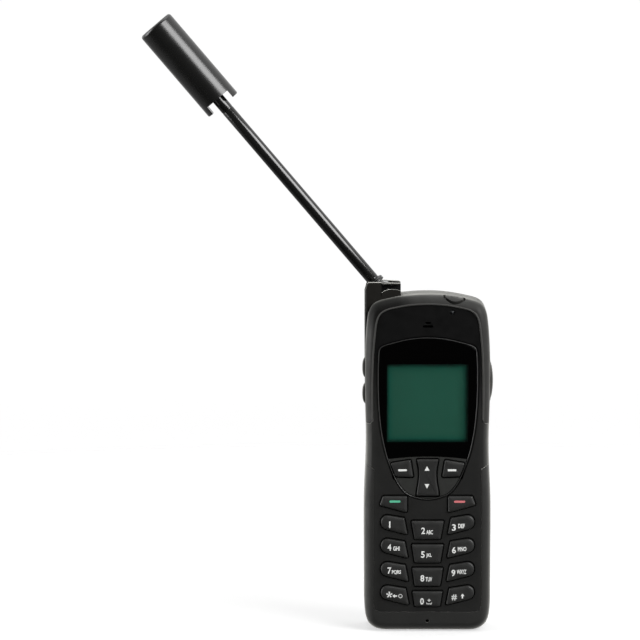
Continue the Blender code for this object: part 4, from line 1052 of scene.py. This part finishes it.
carve(back, usb_hole, cover_pocket, flap_pocket, latch_slot, contact_slot, card_slot, grille, grooves,
      rod("dc_hole", (-9.0, 2.6, 0.0), (0, 0, 1), 2.6, 6.0), rod("aerial_hole", (FLAP[0], 12.0, FLAP[1]), (0, 1, 0), 3.3, 6.0),
      *[rod("screw_hole", (sx, 3.5, sz), (0, 1, 0), 1.25, 22.0, 24) for sx, sz in SCREWS.values()],
      *[rod("head_recess", (sx, 14.1 if sz > 92 else 7.55, sz), (0, 1, 0), 2.15, 4.0, 32) for sx, sz in SCREWS.values()])
soften(back, 0.22, 2)
done(back, "handset", SHELL_MAT, "rear_housing")

# ---------------------------------------------------------------- battery pack
BX, BZ0, BZ1 = 22.3, 6.8, 90.7
pack_ring = [(-BX, BZ0, 2.2), (BX, BZ0, 2.2), (BX, BZ1, 2.2), (-BX, BZ1, 2.2)]
prof = [(0.0, 10.6), (0.0, 12.4)] + [(2.0 * (1 - math.cos(math.radians(a))), 12.4 + 2.6 * math.sin(math.radians(a))) for a in (15, 30, 45, 60, 75, 90)]
pack = stack("battery_lid", lambda d: corner_ring(pack_ring, d, 6), prof)
bm = bmesh.new()
for i in range(6):
    rings_into(bm, [[(x, y, z) for x, z in bar(0.0, 78.6 + 1.6 * i, 30.0 - 1.2 * i, 0.7, 0.33)] for y in (14.5, 18.0)])
lid_grooves = to_object("lid_grooves", bm)
panel_recess = stack("panel_recess", lambda d: corner_ring([(-16.0, 16.0, 2.0), (16.0, 16.0, 2.0), (16.0, 70.0, 2.0), (-16.0, 70.0, 2.0)], d, 6), [(0.3, 14.75), (-0.6, 16.0)])
carve(pack, slab("inside", (-BX + 1.3, 5.0, BZ0 + 1.3), (BX - 1.3, 13.6, BZ1 - 1.3)), lid_grooves, panel_recess)
soften(pack, 0.18, 2)
done(pack, "battery", SHELL_MAT, "battery_cover")
base = slab("battery_tray", (-BX + 0.1, 7.1, BZ0 + 0.1), (BX - 0.1, 10.4, BZ1 - 0.1), 0.8, 3)
done(base, "battery", SHELL_MAT, "battery_base")
cell = slab("battery_pouch", (-19.5, 10.7, 10.0), (19.5, 13.3, 87.5), 0.9, 4)
done(cell, "battery", CARD_MAT, "battery_cell")

# ---------------------------------------------------------------- latch and covers
latch = slab("latch_slider", (-13.5, 13.5, 91.9), (0.5, 14.7, 98.2), 0.45, 3)
bm = bmesh.new()
for i in range(4):
    rings_into(bm, [[(x, y, z) for x, z in bar(-6.5, 93.3 + 1.15 * i, 10.5, 0.5, 0.24)] for y in (14.35, 18.0)])
carve(latch, ("UNION", slab("stem", (-9.0, 11.0, 93.9), (-4.0, 13.9, 96.9))), ("UNION", slab("foot", (-11.0, 9.9, 93.7), (-2.0, 11.3, 98.0))), to_object("lines", bm))
soften(latch, 0.08, 2)
done(latch, "latch", KEY_MAT, "battery_latch")

flap = stack("headset_flap_skin", lambda d: corner_ring([(-3.6, -8.6, 3.2), (3.6, -8.6, 3.2), (3.6, 8.6, 3.2), (-3.6, 8.6, 3.2)], d, 8),
             [(0.0, 26.55), (0.0, 26.8), (0.25, 27.1), (0.7, 27.35), (1.3, 27.5), (2.2, 27.6), (2.9, 27.65)])
cross_lines(flap, [0.65 * k + 0.31 for k in range(-13, 13)])
for v in flap.data.vertices:  # drawn in (a, x, b): turned so that it faces the right-hand side, domed along its length
    a, x, b = v.co
    x -= 1.05 * (b / 8.6) ** 2 * min(1.0, max(0.0, (x - 26.5) / 0.5))
    v.co = (x, VOL_Y + a, JACK_Z + b)
bm = bmesh.new()
bm.from_mesh(flap.data)
bmesh.ops.recalc_face_normals(bm, faces=bm.faces)
bm.to_mesh(flap.data)
bm.free()
carve(flap, ("UNION", rod("plug", (25.9, VOL_Y, JACK_Z), (1, 0, 0), 1.35, 2.2, 32)))
for k in range(-5, 6):  # grip ribs
    b = 1.3 * k
    crest = 27.65 - 1.05 * (b / 8.6) ** 2
    carve(flap, slab("rib_gap", (crest - 0.36, VOL_Y - 2.3, JACK_Z + b - 0.28), (30.0, VOL_Y + 2.3, JACK_Z + b + 0.28)))
soften(flap, 0.07, 2, 40)
done(flap, "headset_flap", SIDE_PAINTED_LIGHT_MAT, "headset_cover")

plug_cover = slab("data_cover_skin", (2.6, 0.7, 0.12), (13.9, 6.1, 1.05), 0.3, 3)
carve(plug_cover, slab("nail_notch", (6.8, 0.0, -0.5), (9.7, 1.3, 0.45)))
soften(plug_cover, 0.06, 2)
done(plug_cover, "data_flap", GRIP_MAT, "data_cover")
aerial = stack("aerial_cover_skin", lambda d: corner_ring([(-FLAP[2], -FLAP[3], 1.2), (FLAP[2], -FLAP[3], 1.2), (FLAP[2], FLAP[3], 1.2), (-FLAP[2], FLAP[3], 1.2)], d, 6),
               [(0.0, 12.6), (0.0, 13.3), (0.15, 13.6), (0.4, 13.8), (0.8, 13.9)])
aerial.data.transform(Matrix.Translation((FLAP[0], 0, FLAP[1])))
carve(aerial, slab("nail_notch", (FLAP[0] - 2.0, 13.1, FLAP[1] + FLAP[3] - 1.1), (FLAP[0] + 2.0, 16.0, FLAP[1] + FLAP[3] + 2.0)),
      slab("line", (FLAP[0] - 4.6, 13.68, FLAP[1] - 3.6), (FLAP[0] + 4.6, 16.0, FLAP[1] - 3.1)))
soften(aerial, 0.08, 2)
done(aerial, "aerial_flap", GRIP_MAT, "aerial_cover")

# ---------------------------------------------------------------- volume keys and power button
for name, z, sign in (("volume_down_key", VOL_Z[0], "-"), ("volume_up_key", VOL_Z[1], "+")):
    key = stack(name + "_cap", lambda d: corner_ring([(-2.35, -4.75, 2.2), (2.35, -4.75, 2.2), (2.35, 4.75, 2.2), (-2.35, 4.75, 2.2)], d, 9),
                [(-0.45, 22.3), (-0.45, 22.8), (0.0, 22.9), (0.0, 26.75), (0.08, 27.0), (0.3, 27.2), (0.7, 27.34), (1.2, 27.42), (1.75, 27.45)])
    cross_lines(key, [0.45 * k + 0.2 for k in range(-11, 11)])
    for v in key.data.vertices:
        a, x, b = v.co
        if x > 24.0:  # domed along its length
            x -= 1.15 * abs(b / 4.75) ** 2.8 * min(1.0, (x - 24.0) / 2.5)
        v.co = (-x, VOL_Y - a, z + b)
    bm = bmesh.new()
    bm.from_mesh(key.data)
    bmesh.ops.recalc_face_normals(bm, faces=bm.faces)
    bm.to_mesh(key.data)
    bm.free()
    if sign == "-":
        cuts = [slab("groove", (-30.0, VOL_Y - 0.95, z - 0.16), (-27.3, VOL_Y + 0.95, z + 0.16))]
    else:
        cuts = [slab("groove", (-30.0, VOL_Y - 0.95, z - 0.16), (-27.3, VOL_Y - 0.16, z + 0.16)), slab("groove", (-30.0, VOL_Y + 0.16, z - 0.16), (-27.3, VOL_Y + 0.95, z + 0.16)),
                slab("groove", (-30.0, VOL_Y - 0.16, z - 0.95), (-27.3, VOL_Y + 0.16, z + 0.95))]
    carve(key, *cuts)
    done(key, BODY_OF[name], SIDE_PAINTED_LIGHT_MAT, name, angle=45)

POWER_TURN = Matrix.Translation(POWER) @ Vector((0, 0, 1)).rotation_difference(POWER_AXIS).to_matrix().to_4x4()
power = turned("power_cap", [(0.0, -5.0)] + [(POWER_R - 0.22, -5.0), (POWER_R - 0.22, 4.0)] + [(0.0, 4.0)], 64, POWER_TURN)
carve(power, ("INTERSECT", front_form("power_skin", -0.12)))
carve(power, ("UNION", rod("power_flange", POWER - POWER_AXIS * 5.05, POWER_AXIS, POWER_R + 0.55, 0.5, 48)))
soften(power, 0.28, 3, 35)
done(power, "power_cap", RUBBER_MAT, "power_button")


def on_shoulder(u, v):
    """Point on the power button's face: u across, v along its slope."""
    w = Vector((1, 0, 0)) * u + Vector((0, math.cos(math.radians(25.0)), math.sin(math.radians(25.0)))) * v
    start = POWER + w + POWER_AXIS * 8
    power_eval = SHOULDER.ray_cast(start, -POWER_AXIS)
    return power_eval[0], power_eval[1]


from mathutils.bvhtree import BVHTree
_tmp = front_form("shoulder", -0.12)
SHOULDER = BVHTree.FromPolygons([v.co.copy() for v in _tmp.data.vertices], [tuple(p.vertices) for p in _tmp.data.polygons])
bpy.data.objects.remove(_tmp, do_unlink=True)


def ribbon(name, paths, width, body, mat, lift=0.012, depth=0.05):
    """Fine printed line laid on the shoulder along (u, v) paths."""
    bm = bmesh.new()
    for path, closed in paths:
        hits = [on_shoulder(u, v) for u, v in path]
        n = len(hits)
        rows = []
        for i, (p, nrm) in enumerate(hits):
            q = hits[(i + 1) % n][0] if (closed or i + 1 < n) else p
            o = hits[i - 1][0] if (closed or i > 0) else p
            side = (q - o).normalized().cross(nrm).normalized() * width / 2
            rows.append([bm.verts.new(p + side + nrm * lift), bm.verts.new(p - side + nrm * lift), bm.verts.new(p - side - nrm * depth), bm.verts.new(p + side - nrm * depth)])
        for i in range(n if closed else n - 1):
            a, b = rows[i], rows[(i + 1) % n]
            for k in range(4):
                bm.faces.new((a[k], a[(k + 1) % 4], b[(k + 1) % 4], b[k]))
        if not closed:
            bm.faces.new(rows[0][::-1])
            bm.faces.new(rows[-1])
    return done(to_object(name, bm), body, mat, slot="grip_rubber", angle=40, weight=False)


icon = [(1.35 * math.sin(math.radians(a)), 1.35 * math.cos(math.radians(a))) for a in range(35, 326, 15)]
ribbon("power_icon", [(icon, False), ([(0.0, 0.5), (0.0, 1.0), (0.0, 1.7)], False)], 0.3, "power_cap", DIM_INK)

# ---------------------------------------------------------------- small front details
led = turned("status_lens", [(0.0, -0.6), (1.0, -0.6), (1.0, 0.0), (0.50, 0.1), (0.50, 0.72), (0.42, 0.88), (0.26, 0.96), (0.0, 1.0)], 32,
             Matrix.Translation((10.3, -13.6, 135.2)) @ Matrix.Rotation(math.radians(90), 4, "X"))
done(led, "handset", LIGHT_MAT, "status_light", angle=60)

# ---------------------------------------------------------------- screws
for name, (sx, sz) in SCREWS.items():
    head, rh, th = (12.15, 1.85, 1.0) if sz > 92 else (5.6, 1.7, 0.8)
    prof = [(0.0, 0.0), (0.5, 0.0), (0.85, 0.6)]
    h = 0.6
    length = head - 0.05 + 9.0
    while h + 0.9 < length - 4.0:  # thread crests
        prof += [(0.85, h), (0.68, h + 0.25), (0.85, h + 0.5)]
        h += 0.6
    prof += [(0.85, length), (rh, length + 0.05), (rh, length + th - 0.25), (rh - 0.3, length + th), (0.0, length + th)]
    s = turned(name + "_body", prof, 28, Matrix.Translation((sx, -9.0, sz)) @ Matrix.Rotation(math.radians(-90), 4, "X"))
    top = -9.0 + length + th
    carve(s, slab("slot_a", (sx - 1.0, top - 0.5, sz - 0.18), (sx + 1.0, top + 1, sz + 0.18)), slab("slot_b", (sx - 0.18, top - 0.52, sz - 1.0), (sx + 0.18, top + 1, sz + 1.0)))
    done(s, "handset", DARK_STEEL_MAT, name, angle=40)

# ---------------------------------------------------------------- antenna turret
lo, hi = TURRET_LO, TURRET_HI
side_profile = [(lo[0], lo[2]), (hi[0], lo[2]), (hi[0], 146.05), (hi[0] - 0.8, 146.3), (-18.5, hi[2]), (-24.9, hi[2]), (-25.5, 145.9), (lo[0], 142.6)]
turret = prism("turret_body", side_profile, lo[1], hi[1])
pit = prism("pit", [(-19.35, 160.0), (-19.35, 142.4), (-18.2, 143.1), (-16.8, 143.7), (-15.2, 143.9), (-13.4, 143.75), (-11.0, 143.2), (0.0, 143.2), (0.0, 160.0)], -20.0, -3.3)
carve(turret, slab("t1", (-40.0, -2.6, 136.25), (0.0, 5.6, 160.0)), pit,
      rod("t3", (ANT_X, 1.5, ANT_Z), (0, 1, 0), 1.4, 13.2, 32), rod("t4", (ANT_X, ANT_Y, 135.0), (0, 0, 1), 3.1, 8.0, 48),
      slab("t5", (-19.7, -6.4, 140.9), (-19.35, -5.6, 160.0)))
plan = corner_ring([(lo[0], lo[1], 1.3), (hi[0], lo[1], 0.4), (hi[0], hi[1], 0.6), (lo[0], hi[1], 1.3)], 0.0, 6)
bm = bmesh.new()
rings_into(bm, [[(x, y, z) for x, y in plan] for z in (130.0, 150.0)])
carve(turret, ("INTERSECT", to_object("plan", bm)))
soften(turret, 0.35, 3, 30)
done(turret, "handset", TURRET_MAT, "antenna_turret")
# painted shade: a black plate behind the pit, under the visor, standing in for the pit's shade
shade_plate = slab("pit_shade_plate", (-19.3, -3.5, 143.0), (-11.4, -3.22, 145.9), 0.05)
done(shade_plate, "handset", SILICONE_MAT, slot="turret_plastic")
visor = slab("turret_visor", (-19.25, -6.0, 145.85), (-11.5, -2.85, 146.45), 0.2, 2)
done(visor, "handset", TURRET_MAT, slot="turret_plastic")

# ---------------------------------------------------------------- antenna
LEAN = Matrix.Translation((ANT_X, ANT_Y, ANT_Z)) @ Matrix.Rotation(math.radians(ANT_TILT), 4, "Y")


def leaned(obj):
    obj.data.transform(LEAN)
    return obj


knuckle = rod("knuckle_barrel", (0, 0, 0), (0, 1, 0), 5.0, 7.6, 72)
carve(knuckle, ("UNION", rod("trunnion", (0, 0, 0), (0, 1, 0), 1.1, 12.6, 32)), rod("bore", (0, 0, 0), (0, 0, 1), 2.95, 30.0), rod("bore2", (0, 0, -6.0), (0, 0, 1), 3.65, 7.0))
soften(knuckle, 0.3, 3, 35)
done(leaned(knuckle), "antenna", MAST_MAT, "antenna_knuckle")

done(leaned(turned("mast_sleeve", [(1.9, -4.4), (2.5, -4.4), (2.65, -4.2)] + [(MAST_R, z) for z in (0.0, 7.6)] + [(2.56, 7.75), (2.56, 8.05), (MAST_R, 8.2)] +
                   [(MAST_R, z) for z in (40.0, 80.0, 101.5)] + [(2.56, 101.7), (2.56, 102.0), (MAST_R, 102.2), (MAST_R, MAST_TOP), (1.9, MAST_TOP)], 64)),
     "antenna", MAST_MAT, "mast_tube", angle=50, weight=False)
bush = [(2.9, 5.3), (3.8, 5.3), (4.0, 5.5), (4.0, 5.9), (3.8, 6.1), (3.8, 6.3), (4.0, 6.5), (3.9, 6.8), (3.5, 7.2), (2.9, 7.2)]
done(leaned(turned("mast_collar", bush, 64)), "antenna", MAST_MAT, "mast_bushing", angle=50, weight=False)
done(leaned(turned("stop_ring", [(2.75, -4.0), (3.25, -4.0), (3.35, -3.9), (3.35, -3.0), (3.25, -2.9), (2.75, -2.9)], 48)), "antenna", STEEL_MAT, "mast_stop", weight=False)

cap = [(2.9, CAP_EARS), (CAP_R - 0.5, CAP_EARS)] + arc(CAP_R - 0.5, CAP_EARS + 0.5, 0.5, -90, 0, 4)[1:] + [(CAP_R, 120.0), (CAP_R, 135.0)] + \
      arc(CAP_R - 1.3, CAP_TOP - 1.3, 1.3, 0, 90, 7) + [(5.8, CAP_TOP)] + [(5.6, CAP_TOP - 0.12), (5.2, CAP_TOP - 0.12), (5.0, CAP_TOP)] + [(0.0, CAP_TOP)] + \
      [(0.0, CAP_TOP - 1.4), (6.6, CAP_TOP - 1.4), (6.6, 110.0), (2.9, 110.0)]
radome = turned("radome_shell", cap, 96)
carve(radome, slab("ear_slot", (-5.45, -20, CAP_EARS - 3), (5.45, 20, CAP_FLOOR), 0.0))
soften(radome, 0.16, 2, 40)
done(leaned(radome), "antenna", CAP_MAT, "antenna_radome", angle=50)

# ---------------------------------------------------------------- carried-over inner pieces get their own finishes
for node, mat in {"earpiece": MESH_MAT, "microphone": MESH_MAT, "keypad_mat": SILICONE_MAT, "main_board": BOARD_MAT, "rf_shield": STEEL_MAT, "loudspeaker": DARK_STEEL_MAT,
                  "aerial_socket": GOLD_MAT, "data_socket": STEEL_MAT, "power_socket": STEEL_MAT, "headset_socket": STEEL_MAT, "battery_contacts": GOLD_MAT,
                  "sim_card": CARD_MAT, "mast_guide_tube": GUIDE_MAT, "helix_core": GUIDE_MAT, "helix_winding": COPPER_MAT}.items():
    o = NODES[node]
    for s in o.material_slots:
        s.material = mat

for o in HELPERS:
    bpy.data.objects.remove(o, do_unlink=True)
